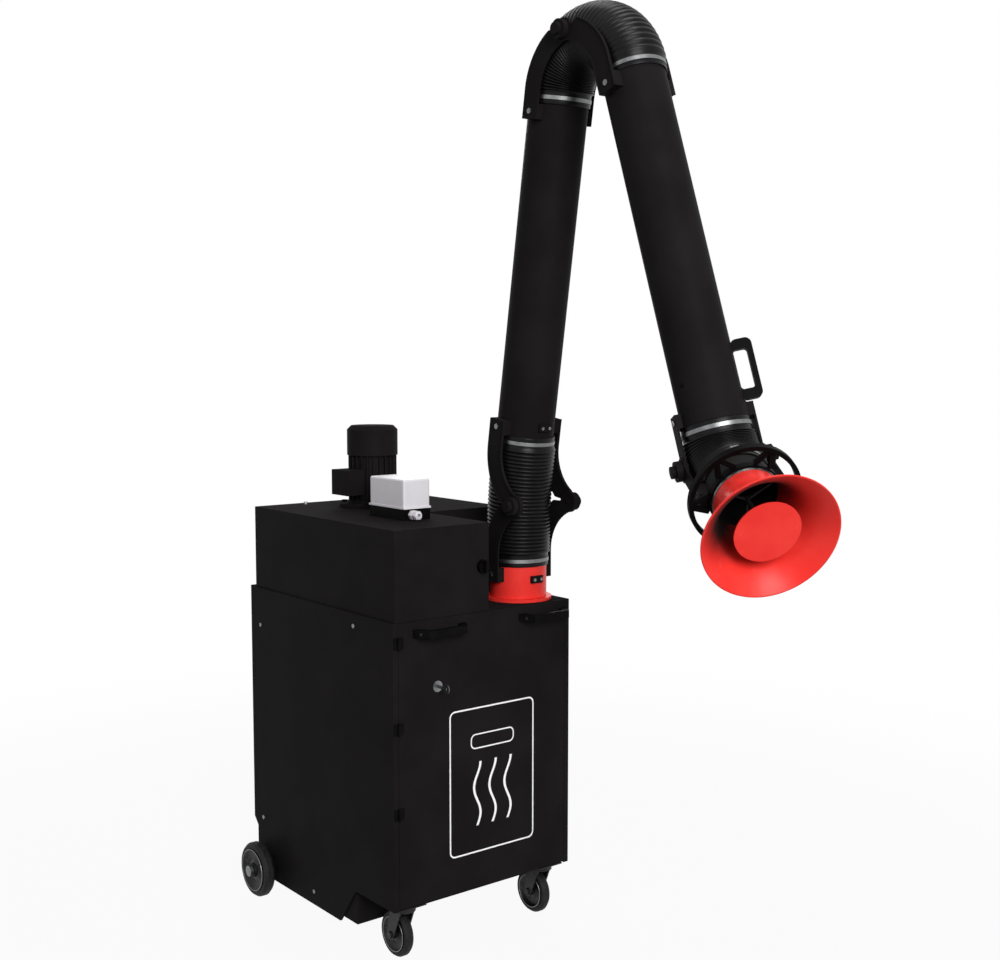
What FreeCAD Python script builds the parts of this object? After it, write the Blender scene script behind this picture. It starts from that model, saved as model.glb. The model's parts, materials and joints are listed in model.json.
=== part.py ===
import FreeCAD, Part
import Sketcher
import math
import os
from types import SimpleNamespace

# Mobile welding fume extractor: wheeled filter cabinet with a hinged extraction arm.
# Millimetres, Z up, the front faces -Y; the origin is on the floor under the cabinet's centre.
Vector = FreeCAD.Vector
doc = FreeCAD.newDocument("FumeExtractor")
sheet = doc.addObject("Spreadsheet::Sheet", "Dims")

# Driving dimensions
SIZES = {
    # cabinet
    "cabinet_width": "600",
    "body_depth": "739",
    "rear_proud": "33",
    "deck_height": "923",
    "upper_height": "240",
    "front_base_height": "157",
    "tray_height": "62",
    "tray_setback": "190",
    "cover_low_height": "48",
    "cover_setback": "270",
    "cover_thickness": "6",
    "cover_rim": "14",
    "corner_post": "16",
    "wall": "2",
    "floor_plate": "3",
    "notch_width": "282",
    "notch_share": "0.406",
    "rear_cover_low": "175",
    "rear_cover_chamfer": "36",
    "front_flange": "24",
    "lock_flange": "90",
    "screw_inset": "38",
    "screw_drop": "33",
    "screw_rear_drop": "110",
    "screw_front_place": "186",
    "screw_middle_place": "408",
    "screw_low_rise": "40",
    "screw_rear_rise": "178",
    "running_gap": "0.05",
    "clear_gap": "0.3",
    # door, hinges, handles and lock
    "door_thickness": "20",
    "door_gap": "1",
    "door_seal_thickness": "4",
    "door_seal_width": "12",
    "hinge_height": "30",
    "hinge_leaf": "3",
    "hinge_knuckle_radius": "4.5",
    "hinge_pin_radius": "2",
    "hinge_stand_off": "1",
    "hinge_drop": "53",
    "hinge_pitch": "225.5",
    "handle_length": "172",
    "handle_height": "21",
    "handle_reach": "42",
    "handle_bar": "13",
    "handle_foot": "24",
    "handle_drop": "33",
    "left_handle_place": "148",
    "right_handle_place": "502",
    "lock_drop": "182",
    "lock_from_left": "139",
    "lock_ring_radius": "15",
    "lock_body_radius": "11",
    "lock_plug_radius": "6",
    "key_reach": "55",
    "key_bow_radius": "13",
    "cam_gap": "1",
    "cam_length": "56",
    "cam_width": "18",
    "knob_rise": "123",
    "knob_from_left": "289",
    "knob_radius": "18",
    "knob_depth": "24",
    # fan and motor
    "fan_offset_left": "10",
    "fan_place_share": "0.724",
    "impeller_share": "0.23",
    "impeller_height": "92",
    "impeller_lift": "26",
    "impeller_blades": "9",
    "inlet_radius": "100",
    "shaft_radius": "12",
    "bearing_radius": "24",
    "motor_radius": "71.5",
    "motor_flange_radius": "100",
    "motor_flange_thickness": "12",
    "motor_body_height": "148",
    "motor_cowl_radius": "75",
    "motor_cowl_height": "81",
    "terminal_reach": "44",
    "terminal_width": "86",
    "terminal_height": "74",
    "terminal_lift": "39",
    "grille_width": "420",
    "grille_height": "170",
    "grille_bars": "11",
    # control box
    "box_left": "146",
    "box_from_front": "160",
    "box_width": "87",
    "box_depth": "168",
    "box_base_height": "31",
    "box_cover_height": "81",
    "box_lip": "5",
    "gland_from_left": "27",
    "gland_radius": "13.5",
    "gland_bore": "5",
    "gland_length": "34",
    # filter and dust bin
    "filter_share": "0.2165",
    "filter_pleat": "34",
    "filter_pleats": "36",
    "filter_height": "540",
    "filter_cap": "14",
    "rod_radius": "6",
    "bin_width": "440",
    "bin_share": "0.568",
    "bin_height": "150",
    # arm
    "arm_from_left": "500",
    "arm_from_front": "105",
    "collar_radius": "80",
    "collar_height": "132",
    "collar_flange_radius": "95",
    "collar_flange_thickness": "8",
    "tube_radius": "80",
    "tube_wall": "2",
    "hinge_offset": "105",
    "hinge_half": "145",
    "lower_lean_angle": "9",
    "lower_length": "955",
    "outer_lean_angle": "18.6",
    "outer_length": "964",
    "hose_cuff": "34",
    "hose_wall": "3.7",
    "hose_rib": "6",
    "shoulder_ribs": "13",
    "elbow_ribs": "16",
    "wrist_ribs": "8",
    "clamp_width": "10",
    "clamp_thickness": "1.6",
    "arm_plate": "5",
    "arm_plate_width": "58",
    "arm_plate_rib": "3",
    "fork_width": "44",
    "arm_plate_inside": "92.5",
    "arm_foot": "40",
    "tube_clip_rise": "54",
    "clip_drop_share": "0.6",
    "clip_height": "20",
    "clip_bolt_radius": "5",
    "pivot_boss_radius": "30",
    "pivot_bolt_radius": "6",
    "pivot_knob_radius": "25",
    "pivot_knob_length": "28",
    "arm_handle_length": "150",
    "arm_handle_reach": "48",
    "arm_handle_bar": "14",
    "arm_handle_thickness": "18",
    "arm_handle_end": "26",
    "arm_handle_corner": "16",
    "arm_handle_from_pivot": "212",
    "arm_handle_turn_angle": "48",
    # wrist and hood
    "wrist_half": "62",
    "wrist_swivel_angle": "33",
    "wrist_tilt_angle": "47.5",
    "sleeve_radius": "84",
    "sleeve_length": "34",
    "neck_end": "155",
    "hood_length": "165",
    "hood_radius": "160",
    "hood_wall": "3",
    "grip_ring_radius": "134",
    "grip_ring_bar": "11",
    "grip_ring_thickness": "16",
    "grip_spoke": "13",
    "grip_spokes": "6",
    "disc_radius": "77.5",
    "disc_inset": "22",
    # wheels
    "rear_wheel_radius": "80",
    "rear_wheel_width": "40",
    "rear_wheel_out": "35",
    "rear_wheel_from_front": "680",
    "rear_stub_radius": "10",
    "caster_wheel_radius": "62.5",
    "caster_wheel_width": "32",
    "caster_from_side": "62",
    "caster_from_front": "47",
    "caster_trail": "33",
    "caster_plate": "4",
    "caster_pin_radius": "6",
}


class Dim:
    """A size that carries its number together with the sheet rule that gives it."""

    def __init__(self, number, rule):
        self.number = number
        self.rule = rule

    def __float__(self):
        return self.number

    def __add__(self, other):
        return Dim(self.number + float(other), f"({self.rule} + {rule_of(other)})")

    def __sub__(self, other):
        return Dim(self.number - float(other), f"({self.rule} - {rule_of(other)})")

    def __rsub__(self, other):
        return Dim(float(other) - self.number, f"({rule_of(other)} - {self.rule})")

    def __mul__(self, other):
        return Dim(self.number * float(other), f"({self.rule} * {rule_of(other)})")

    def __truediv__(self, other):
        return Dim(self.number / float(other), f"({self.rule} / {rule_of(other)})")

    def __neg__(self):
        return 0 - self

    __radd__ = __add__
    __rmul__ = __mul__


def rule_of(size):
    return size.rule if isinstance(size, Dim) else repr(float(size))


def fill_sheet():
    """Write every driving dimension to the sheet and return them by name."""
    named = SimpleNamespace()
    for row, (alias, text) in enumerate(SIZES.items(), start=1):
        sheet.set(f"A{row}", alias)
        sheet.set(f"B{row}", text)
        sheet.setAlias(f"B{row}", alias)
        setattr(named, alias, Dim(float(text), f"Dims.{alias}"))
    doc.recompute()
    return named


D = fill_sheet()
nodes = []


# Building helpers
def bind(item, prop, size):
    """Set a property and, where the size comes from the sheet, tie it to its rule."""
    if isinstance(size, Dim):
        item.setExpression(prop, size.rule)
    elif "." not in prop:
        setattr(item, prop, size)
    else:
        item.setExpression(prop, repr(float(size)))


def move(item, at):
    for letter, size in zip("xyz", at):
        bind(item, f"Placement.Base.{letter}", size)
    return item


def box(length, width, height, at):
    item = doc.addObject("Part::Box", "Block")
    bind(item, "Length", length)
    bind(item, "Width", width)
    bind(item, "Height", height)
    return move(item, at)


TURN = {
    "Z": FreeCAD.Rotation(),
    "X": FreeCAD.Rotation(Vector(0, 1, 0), 90),
    "Y": FreeCAD.Rotation(Vector(1, 0, 0), -90),
}


def rod(radius, length, at, along="Z"):
    """A cylinder that starts at a point and runs in the positive direction of an axis."""
    item = doc.addObject("Part::Cylinder", "Rod")
    bind(item, "Radius", radius)
    bind(item, "Height", length)
    item.Placement = FreeCAD.Placement(Vector(), TURN[along])
    return move(item, at)


def taper(radius1, radius2, length, at, along="Z"):
    item = doc.addObject("Part::Cone", "Taper")
    bind(item, "Radius1", radius1)
    bind(item, "Radius2", radius2)
    bind(item, "Height", length)
    item.Placement = FreeCAD.Placement(Vector(), TURN[along])
    return move(item, at)


def hexagon_bar(radius, length, at, along="Y"):
    """A hexagon bar from a point along an axis, for nuts; the radius is to its corners."""
    item = doc.addObject("Part::Prism", "Hexagon")
    item.Polygon = 6
    bind(item, "Circumradius", radius)
    bind(item, "Height", length)
    item.Placement = FreeCAD.Placement(Vector(), TURN[along])
    return move(item, at)


def fuse(*items):
    item = doc.addObject("Part::MultiFuse", "Union")
    item.Shapes = list(items)
    item.Refine = True
    return item


def cut(base, *tools):
    item = doc.addObject("Part::Cut", "Difference")
    item.Base = base
    item.Tool = tools[0] if len(tools) == 1 else fuse(*tools)
    item.Refine = True
    return item


def group(*items):
    item = doc.addObject("Part::Compound", "Group")
    item.Links = list(items)
    return item


def ring(outer, inner, length, at, along="Z"):
    """A plain tube with its end faces square."""
    return cut(rod(outer, length, at, along), rod(inner, length, at, along))


def turned(item, angle, at, axis=Vector(0, 0, 1)):
    """A copy of an object turned about an axis through a point, by a linked compound."""
    copy = group(item)
    copy.Placement = FreeCAD.Placement(Vector(), FreeCAD.Rotation(axis, angle), at)
    return copy


def shifted(item, rise):
    """A linked copy of an object moved up its own frame."""
    return move(group(item), (0, 0, rise))


def node(label, item, frame=None):
    """Register an object as a sub-part, with the place of its own frame."""
    item.Label = label
    nodes.append((item, frame))
    return item


def pin_point(sketch, index, end, point):
    """Fix a sketch point by its two distances from the sketch origin."""
    for kind, axis, size in zip(("DistanceX", "DistanceY"), (-2, -1), point[:2]):
        if not isinstance(size, Dim) and float(size) == 0:
            sketch.addConstraint(Sketcher.Constraint("PointOnObject", index, end, axis))
            continue
        place = sketch.addConstraint(Sketcher.Constraint(kind, -1, 1, index, end, float(size)))
        if isinstance(size, Dim):
            sketch.setExpression(f"Constraints[{place}]", size.rule)


def arc_between(start, finish, radius):
    """An arc of a given radius; a positive radius bends to the left of the way from start to finish."""
    a = Vector(float(start[0]), float(start[1]), 0)
    b = Vector(float(finish[0]), float(finish[1]), 0)
    size = abs(float(radius))
    chord = b - a
    left = Vector(-chord.y, chord.x, 0).normalize()
    side = 1 if float(radius) > 0 else -1
    centre = (a + b) * 0.5 + left * (side * math.sqrt(size**2 - (chord.Length / 2) ** 2))
    first = math.atan2(a.y - centre.y, a.x - centre.x)
    last = math.atan2(b.y - centre.y, b.x - centre.x)
    circle = Part.Circle(centre, Vector(0, 0, 1), size)
    return Part.ArcOfCircle(circle, first, last) if side > 0 else Part.ArcOfCircle(circle, last, first)


def outline(body, plane, points, offset=None):
    """A closed sketch; a point with a third value starts an arc of that radius."""
    sketch = body.newObject("Sketcher::SketchObject", "Outline")
    origin = next(f for f in body.Origin.OriginFeatures if f.Role == plane)
    sketch.AttachmentSupport = [(origin, "")]
    sketch.MapMode = "FlatFace"
    if offset is not None:
        bind(sketch, "AttachmentOffset.Base.z", offset)
    ends = []
    for start, finish in zip(points, points[1:] + points[:1]):
        a = Vector(float(start[0]), float(start[1]), 0)
        b = Vector(float(finish[0]), float(finish[1]), 0)
        if len(start) == 2:
            ends.append((sketch.addGeometry(Part.LineSegment(a, b), False), 1, 2))
            continue
        index = sketch.addGeometry(arc_between(start, finish, start[2]), False)
        ends.append((index, 1, 2) if float(start[2]) > 0 else (index, 2, 1))
    for (index, _, last), (follower, first, _) in zip(ends, ends[1:] + ends[:1]):
        sketch.addConstraint(Sketcher.Constraint("Coincident", index, last, follower, first))
    for (index, first, _), point in zip(ends, points):
        pin_point(sketch, index, first, point)
    for (index, _, _), point in zip(ends, points):
        if len(point) == 3:
            size = point[2] if float(point[2]) > 0 else -point[2]
            place = sketch.addConstraint(Sketcher.Constraint("Radius", index, float(size)))
            if isinstance(size, Dim):
                sketch.setExpression(f"Constraints[{place}]", size.rule)
    return sketch


def padded(plane, points, length, offset=None, pocket=None, pocket_length=None, pocket_offset=None):
    """A body with a padded outline and, if asked, a pocket of a second outline cut into it."""
    body = doc.addObject("PartDesign::Body", "Body")
    pad = body.newObject("PartDesign::Pad", "Pad")
    pad.Profile = outline(body, plane, points, offset)
    bind(pad, "Length", length)
    if pocket:
        doc.recompute()
        cutout = body.newObject("PartDesign::Pocket", "Pocket")
        cutout.Profile = outline(body, plane, pocket, pocket_offset)
        bind(cutout, "Length", pocket_length)
        cutout.Reversed = True
    return body


def revolved(points):
    """A body turned about its Z axis from an outline of radius and height."""
    body = doc.addObject("PartDesign::Body", "Body")
    turn = body.newObject("PartDesign::Revolution", "Revolution")
    sketch = outline(body, "XZ_Plane", points)
    turn.Profile = sketch
    turn.ReferenceAxis = (sketch, ["V_Axis"])
    turn.Angle = 360
    return body


# Shared levels and places
half_width = D.cabinet_width / 2
inner_half = half_width - D.cover_thickness
front = -(D.body_depth + D.rear_proud) / 2
back = front + D.body_depth
left = -half_width
seal_back = front + D.door_thickness + D.door_seal_thickness
shell_top = D.deck_height - D.floor_plate
door_left = left + D.corner_post + D.door_gap
door_right = -door_left
door_low = D.front_base_height + D.floor_plate + D.door_gap
door_high = D.deck_height - D.door_gap
fan_x = -D.fan_offset_left
fan_y = front + D.body_depth * D.fan_place_share
arm_x = left + D.arm_from_left
arm_y = front + D.arm_from_front
lock_x = left + D.lock_from_left
lock_z = D.deck_height - D.lock_drop
top_high = D.deck_height + D.upper_height
knob_z = D.deck_height + D.knob_rise
impeller_radius = D.body_depth * D.impeller_share
filter_radius = D.body_depth * D.filter_share


# Cabinet
def base_frame():
    """Bent floor: a raised front shelf over the casters, a riser and the low tray behind it."""
    low = D.tray_height
    high = D.front_base_height
    step = front + D.tray_setback
    tray_back = back - D.wall
    shelf_front = seal_back + D.wall
    profile = [
        (shelf_front, high),
        (step, high),
        (step, low),
        (tray_back, low),
        (tray_back, low + D.floor_plate),
        (step + D.floor_plate, low + D.floor_plate),
        (step + D.floor_plate, high + D.floor_plate),
        (shelf_front, high + D.floor_plate),
    ]
    inside = inner_half - D.wall
    return padded("YZ_Plane", profile, inside * 2, -inside)


def cabinet_shell():
    """Side and rear walls with the front flange that the door's seal closes on."""
    step = front + D.tray_setback
    outer = [
        (seal_back, D.front_base_height),
        (step, D.front_base_height),
        (step, D.tray_height),
        (back, D.tray_height),
        (back, shell_top),
        (seal_back, shell_top),
    ]
    walls = padded("YZ_Plane", outer, inner_half * 2, -inner_half)
    inside = box(
        (inner_half - D.wall) * 2,
        back - seal_back - D.wall * 2,
        shell_top,
        (-(inner_half - D.wall), seal_back + D.wall, 0),
    )
    front_low = D.front_base_height + D.floor_plate
    opening = box(
        inner_half * 2 - D.lock_flange - D.front_flange,
        D.wall * 3,
        shell_top - front_low - D.front_flange * 2,
        (-inner_half + D.lock_flange, seal_back - D.wall, front_low + D.front_flange),
    )
    return cut(walls, inside, opening)


def side_cover(side):
    """Pressed side panel with a rim behind it and a return on the front corner."""
    step = front + D.tray_setback
    low_start = front + D.cover_setback
    skin = D.wall
    rim = D.cover_rim
    edge = [
        (front, D.front_base_height),
        (step, D.front_base_height),
        (low_start, D.cover_low_height),
        (back, D.cover_low_height),
        (back, D.deck_height),
        (front, D.deck_height),
    ]
    hollow = [
        (front + rim, D.front_base_height + rim),
        (step + rim / 2, D.front_base_height + rim),
        (low_start + rim / 2, D.cover_low_height + rim),
        (back - rim, D.cover_low_height + rim),
        (back - rim, D.deck_height - rim),
        (front + rim, D.deck_height - rim),
    ]
    outside = half_width if side > 0 else -half_width
    inside = inner_half if side > 0 else -inner_half
    start = inside if side > 0 else outside
    hollow_start = inside if side > 0 else outside + skin
    panel = padded(
        "YZ_Plane", edge, D.cover_thickness, start, hollow, D.cover_thickness - skin, hollow_start
    )
    post = box(
        D.corner_post,
        D.door_thickness,
        D.deck_height - D.front_base_height,
        (half_width - D.corner_post if side > 0 else -half_width, front, D.front_base_height),
    )
    return fuse(panel, post)


def deck_plate():
    """Partition between the filter chamber and the fan chamber, with the arm's inlet hole."""
    plate = box(inner_half * 2, back - seal_back, D.floor_plate, (-inner_half, seal_back, shell_top))
    arm_hole = rod(D.collar_radius - D.tube_wall * 4, D.floor_plate, (arm_x, arm_y, shell_top))
    fan_hole = rod(D.inlet_radius, D.floor_plate, (fan_x, fan_y, shell_top))
    return cut(plate, arm_hole, fan_hole)


def upper_outline(inset):
    corner_x = inner_half - D.notch_width
    corner_y = front + D.body_depth * D.notch_share
    return [
        (-inner_half + inset, front + inset),
        (corner_x - inset, front + inset),
        (corner_x - inset, corner_y + inset),
        (inner_half - inset, corner_y + inset),
        (inner_half - inset, back - inset),
        (-inner_half + inset, back - inset),
    ]


def upper_housing():
    """Fan chamber: an upside-down sheet pan with a notched corner for the arm."""
    rise = D.upper_height
    shell = padded(
        "XY_Plane", upper_outline(0), rise, D.deck_height,
        upper_outline(D.wall), rise - D.wall, D.deck_height,
    )
    shaft_hole = rod(D.bearing_radius, D.wall * 3, (fan_x, fan_y, top_high - D.wall * 2))
    knob_hole = rod(
        D.pivot_bolt_radius + D.running_gap, D.wall * 3,
        (left + D.knob_from_left, front - D.wall, knob_z), "Y",
    )
    grille_low = D.deck_height + (D.upper_height - D.grille_height) / 2
    exhaust = box(
        D.grille_width - D.cover_rim * 2, D.wall * 3, D.grille_height - D.cover_rim * 2,
        (-(D.grille_width / 2 - D.cover_rim), back - D.wall * 2, grille_low + D.cover_rim),
    )
    return cut(shell, shaft_hole, knob_hole, exhaust)


def exhaust_grille():
    """Framed outlet grille with level bars."""
    depth = D.wall * 4
    low = D.deck_height + (D.upper_height - D.grille_height) / 2
    frame = box(D.grille_width, depth, D.grille_height, (-D.grille_width / 2, back, low))
    window = box(
        D.grille_width - D.cover_rim * 2, depth, D.grille_height - D.cover_rim * 2,
        (-(D.grille_width / 2 - D.cover_rim), back, low + D.cover_rim),
    )
    count = int(float(D.grille_bars))
    pitch = (D.grille_height - D.cover_rim * 2) / (count + 1)
    bars = [
        box(
            D.grille_width - D.cover_rim, D.wall * 2, D.wall * 2,
            (-(D.grille_width - D.cover_rim) / 2, back + D.wall,
             low + D.cover_rim - D.wall + pitch * (i + 1)),
        )
        for i in range(count)
    ]
    return fuse(cut(frame, window), *bars)


def rear_cover():
    """Deep rear pan whose lower edge is chamfered."""
    far = back + D.rear_proud
    low = D.rear_cover_low
    chamfer = D.rear_cover_chamfer
    outer = [
        (back, low),
        (far, low + chamfer),
        (far, D.deck_height),
        (back, D.deck_height),
    ]
    skin = D.wall
    hollow = [
        (back, low + skin * 2),
        (far - skin, low + chamfer + skin),
        (far - skin, D.deck_height - skin),
        (back, D.deck_height - skin),
    ]
    inside = inner_half - skin
    return padded("YZ_Plane", outer, inner_half * 2, -inner_half, hollow, inside * 2, -inside)


def cover_screws():
    """Pan heads that hold the side covers and the rear cover."""
    head = D.wall * 3
    height = D.wall * 1.5
    side_places = [
        (back - D.screw_inset, D.deck_height - D.screw_rear_drop),
        (front + D.screw_front_place, D.deck_height - D.screw_drop),
        (back - D.screw_inset, D.cover_low_height + D.screw_rear_rise),
        (front + D.screw_middle_place, D.cover_low_height + D.screw_low_rise),
    ]
    heads = []
    for y, level in side_places:
        heads.append(rod(head, height, (-half_width - height, y, level), "X"))
        heads.append(rod(head, height, (half_width, y, level), "X"))
    rear_low = D.rear_cover_low + D.rear_cover_chamfer + D.screw_drop
    for side in (-1, 1):
        for level in (rear_low, D.deck_height - D.screw_drop):
            place = (side * (inner_half - D.front_flange), back + D.rear_proud, level)
            heads.append(rod(head, height, place, "Y"))
    return group(*heads)


# Door with its furniture
hinge_y = front - D.hinge_knuckle_radius - D.hinge_stand_off
hinge_x = left + D.corner_post
hinge_levels = [D.deck_height - D.hinge_drop - D.hinge_pitch * i for i in range(3)]


def door():
    """Pressed door pan with a stepped-in back and the lock hole."""
    width = door_right - door_left
    height = door_high - door_low
    pan = box(width, D.door_thickness, height, (door_left, front, door_low))
    rim = D.door_seal_width + D.wall * 2
    hollow = box(
        width - rim * 2, D.door_thickness, height - rim * 2,
        (door_left + rim, front + D.wall, door_low + rim),
    )
    lock_hole = rod(D.lock_body_radius, D.door_thickness, (lock_x, front, lock_z), "Y")
    return cut(pan, hollow, lock_hole)


def door_seal():
    """Rubber frame on the back of the door's rim."""
    inset = D.wall
    width = door_right - door_left - inset * 2
    height = door_high - door_low - inset * 2
    thick = D.door_seal_thickness - D.clear_gap
    start = front + D.door_thickness
    outer = box(width, thick, height, (door_left + inset, start, door_low + inset))
    strip = D.door_seal_width
    inner = box(
        width - strip * 2, thick, height - strip * 2,
        (door_left + inset + strip, start, door_low + inset + strip),
    )
    return cut(outer, inner)


def hinge_leaf(level, side):
    """One leaf of a butt hinge: the door's leaf has the middle knuckle, the post's the outer two."""
    low = level - D.hinge_height / 2
    third = D.hinge_height / 3
    reach = D.hinge_height / 2
    knuckle = D.hinge_knuckle_radius
    gap = D.clear_gap
    clear = knuckle + gap
    leaf_x = hinge_x + clear if side > 0 else hinge_x - reach
    leaf = box(reach - clear, D.hinge_leaf, D.hinge_height, (leaf_x, front - D.hinge_leaf, low))
    spans = [(third + gap, third - gap * 2)] if side > 0 else [(0 * third, third), (third * 2, third)]
    pieces = [leaf]
    bores = []
    for start, length in spans:
        root = hinge_x if side > 0 else hinge_x - clear
        pieces.append(rod(knuckle, length, (hinge_x, hinge_y, low + start)))
        pieces.append(box(clear, D.hinge_leaf, length, (root, front - D.hinge_leaf, low + start)))
        bores.append(rod(D.hinge_pin_radius + D.running_gap, length, (hinge_x, hinge_y, low + start)))
    return cut(fuse(*pieces), *bores)


def hinge_pins():
    """Pins with a button head at each end."""
    pins = []
    for level in hinge_levels:
        low = level - D.hinge_height / 2
        stem = rod(D.hinge_pin_radius, D.hinge_height, (hinge_x, hinge_y, low))
        heads = [
            rod(D.hinge_pin_radius * 1.6, D.wall,
                (hinge_x, hinge_y, level + side * D.hinge_height / 2 + shift))
            for side, shift in ((-1, -D.wall), (1, 0 * D.wall))
        ]
        pins.append(fuse(stem, *heads))
    return pins


def bow_handle(centre_x):
    """Bow handle seen from above as an arch with sloping shoulders."""
    half = D.handle_length / 2
    foot = D.handle_foot
    bar = D.handle_bar
    reach = D.handle_reach
    arch = [
        (centre_x - half, front),
        (centre_x - half + foot, front),
        (centre_x - half + foot + bar, front - reach + bar),
        (centre_x + half - foot - bar, front - reach + bar),
        (centre_x + half - foot, front),
        (centre_x + half, front),
        (centre_x + half - foot, front - reach),
        (centre_x - half + foot, front - reach),
    ]
    return padded("XY_Plane", arch, D.handle_height, D.deck_height - D.handle_drop - D.handle_height / 2)


def lock_body():
    """Cam lock barrel with a bright ring on the door's face and a nut behind it."""
    flange = ring(D.lock_ring_radius, D.lock_plug_radius + D.running_gap, D.wall * 2,
                  (lock_x, front - D.wall * 2, lock_z), "Y")
    barrel = ring(D.lock_body_radius, D.lock_plug_radius + D.running_gap, D.door_thickness,
                  (lock_x, front, lock_z), "Y")
    return fuse(flange, barrel)


cam_y = seal_back + D.wall + D.cam_gap


def lock_plug():
    """Turning plug, a key slot in front and a square end behind for the cam."""
    stem = rod(D.lock_plug_radius, cam_y + D.wall * 1.5 - front + D.wall * 2,
               (lock_x, front - D.wall * 2, lock_z), "Y")
    slot = box(D.wall, D.wall * 4, D.lock_plug_radius * 1.5,
               (lock_x - D.wall / 2, front - D.wall * 2, lock_z - D.lock_plug_radius * 0.75))
    return cut(stem, slot)


def key():
    """Flat key with a holed bow, pushed into the plug's slot."""
    tip = front - D.wall * 2 + D.wall * 4 - D.clear_gap
    blade_height = D.lock_plug_radius * 1.5 - D.clear_gap * 2
    thick = D.wall - D.clear_gap * 2
    bow_y = front - D.key_reach + D.key_bow_radius
    blade = box(thick, tip - bow_y, blade_height,
                (lock_x - thick / 2, bow_y, lock_z - blade_height / 2))
    bow = rod(D.key_bow_radius, thick, (lock_x - thick / 2, bow_y, lock_z), "X")
    hole = rod(D.key_bow_radius / 3, thick, (lock_x - thick / 2, bow_y - D.key_bow_radius / 3, lock_z), "X")
    return cut(fuse(blade, bow), hole)


def lock_cam():
    """Cam plate on the plug's end; upright it frees the door, level it hooks the flange."""
    thick = D.wall * 1.5
    plate = box(D.cam_width, thick, D.cam_length, (lock_x - D.cam_width / 2, cam_y, lock_z))
    boss = rod(D.cam_width / 2, thick, (lock_x, cam_y, lock_z), "Y")
    seat = rod(D.lock_plug_radius, thick, (lock_x, cam_y, lock_z), "Y")
    return cut(fuse(plate, boss), seat)


def front_knob():
    """Round switch knob with a raised grip bar."""
    x = left + D.knob_from_left
    stem = rod(D.pivot_bolt_radius, D.knob_depth, (x, front, knob_z), "Y")
    disc = rod(D.knob_radius, D.knob_depth / 2, (x, front - D.clear_gap - D.knob_depth / 2, knob_z), "Y")
    neck = rod(D.pivot_bolt_radius, D.wall * 2, (x, front - D.wall, knob_z), "Y")
    bar = box(D.knob_radius / 2, D.knob_depth / 2, D.knob_radius * 1.7,
              (x - D.knob_radius / 4, front - D.knob_depth, knob_z - D.knob_radius * 0.85))
    return fuse(stem, disc, neck, bar)


# Fan, motor and control box
wheel_low = D.deck_height + D.impeller_lift
wheel_high = wheel_low + D.impeller_height


def inlet_ring():
    """Spun inlet ring that leads the air into the impeller's eye."""
    flange = ring(D.inlet_radius + D.front_flange, D.inlet_radius, D.wall, (fan_x, fan_y, D.deck_height))
    throat = ring(D.inlet_radius + D.wall, D.inlet_radius, D.impeller_lift - D.wall,
                  (fan_x, fan_y, D.deck_height))
    return fuse(flange, throat)


def impeller():
    """Backward-curved fan wheel: back plate, ring shroud, hub and swept blades."""
    thick = D.wall * 1.5
    back_plate = rod(impeller_radius, thick, (fan_x, fan_y, wheel_high - thick))
    shroud = ring(impeller_radius, D.inlet_radius, thick, (fan_x, fan_y, wheel_low))
    hub = rod(D.shaft_radius * 2.4, D.impeller_height * 0.6,
              (fan_x, fan_y, wheel_high - D.impeller_height * 0.6))
    count = int(float(D.impeller_blades))
    centre = Vector(float(fan_x), float(fan_y), 0)
    bend = impeller_radius * 0.75
    zone = ring(impeller_radius, D.inlet_radius * 0.85, D.impeller_height, (fan_x, fan_y, wheel_low))
    keep = doc.addObject("Part::MultiCommon", "BladeZone")
    side = box(impeller_radius, impeller_radius * 0.9, D.impeller_height,
               (fan_x, fan_y - impeller_radius * 0.75, wheel_low))
    first = ring(bend, bend - thick, D.impeller_height, (fan_x + bend, fan_y + bend * 0.35, wheel_low))
    keep.Shapes = [first, zone, side]
    swept = [turned(keep, 360 * i / count, centre) for i in range(count)]
    return cut(fuse(back_plate, shroud, hub, *swept),
               rod(D.shaft_radius, D.impeller_height, (fan_x, fan_y, wheel_low)))


body_low = top_high + D.motor_flange_thickness
body_high = body_low + D.motor_body_height
cowl_high = body_high + D.motor_cowl_height


def motor_shaft():
    start = wheel_high - D.impeller_height * 0.6 - D.wall * 4
    return rod(D.shaft_radius, cowl_high - D.wall * 12 - start, (fan_x, fan_y, start))


def motor_flange():
    plate = ring(D.motor_flange_radius, D.bearing_radius, D.motor_flange_thickness,
                 (fan_x, fan_y, top_high))
    bolts = []
    for i in range(4):
        angle = math.radians(45 + 90 * i)
        reach = D.motor_flange_radius * 0.86
        at = (fan_x + reach * math.cos(angle), fan_y + reach * math.sin(angle), body_low)
        bolts.append(rod(D.wall * 4, D.wall * 3, at))
    return fuse(plate, *bolts)


def motor_body():
    """Finned motor frame."""
    core = rod(D.motor_radius - D.wall * 4, D.motor_body_height, (fan_x, fan_y, body_low))
    fins = []
    for i in range(12):
        fin = box(D.motor_radius * 2, D.wall * 2, D.motor_body_height - D.wall * 8,
                  (fan_x - D.motor_radius, fan_y - D.wall, body_low + D.wall * 4))
        centre = Vector(float(fan_x), float(fan_y), 0)
        fins.append(turned(fin, 15 * i, centre))
    ends = [
        rod(D.motor_radius, D.wall * 4, (fan_x, fan_y, body_low)),
        rod(D.motor_radius, D.wall * 4, (fan_x, fan_y, body_high - D.wall * 4)),
    ]
    return cut(fuse(core, *fins, *ends),
               rod(D.bearing_radius, D.motor_body_height, (fan_x, fan_y, body_low)))


def motor_bearings():
    """One bearing at each end of the motor frame."""
    width = D.motor_flange_thickness
    return [
        ring(D.bearing_radius, D.shaft_radius + D.running_gap, width, (fan_x, fan_y, low))
        for low in (body_low, body_high - width)
    ]


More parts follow.
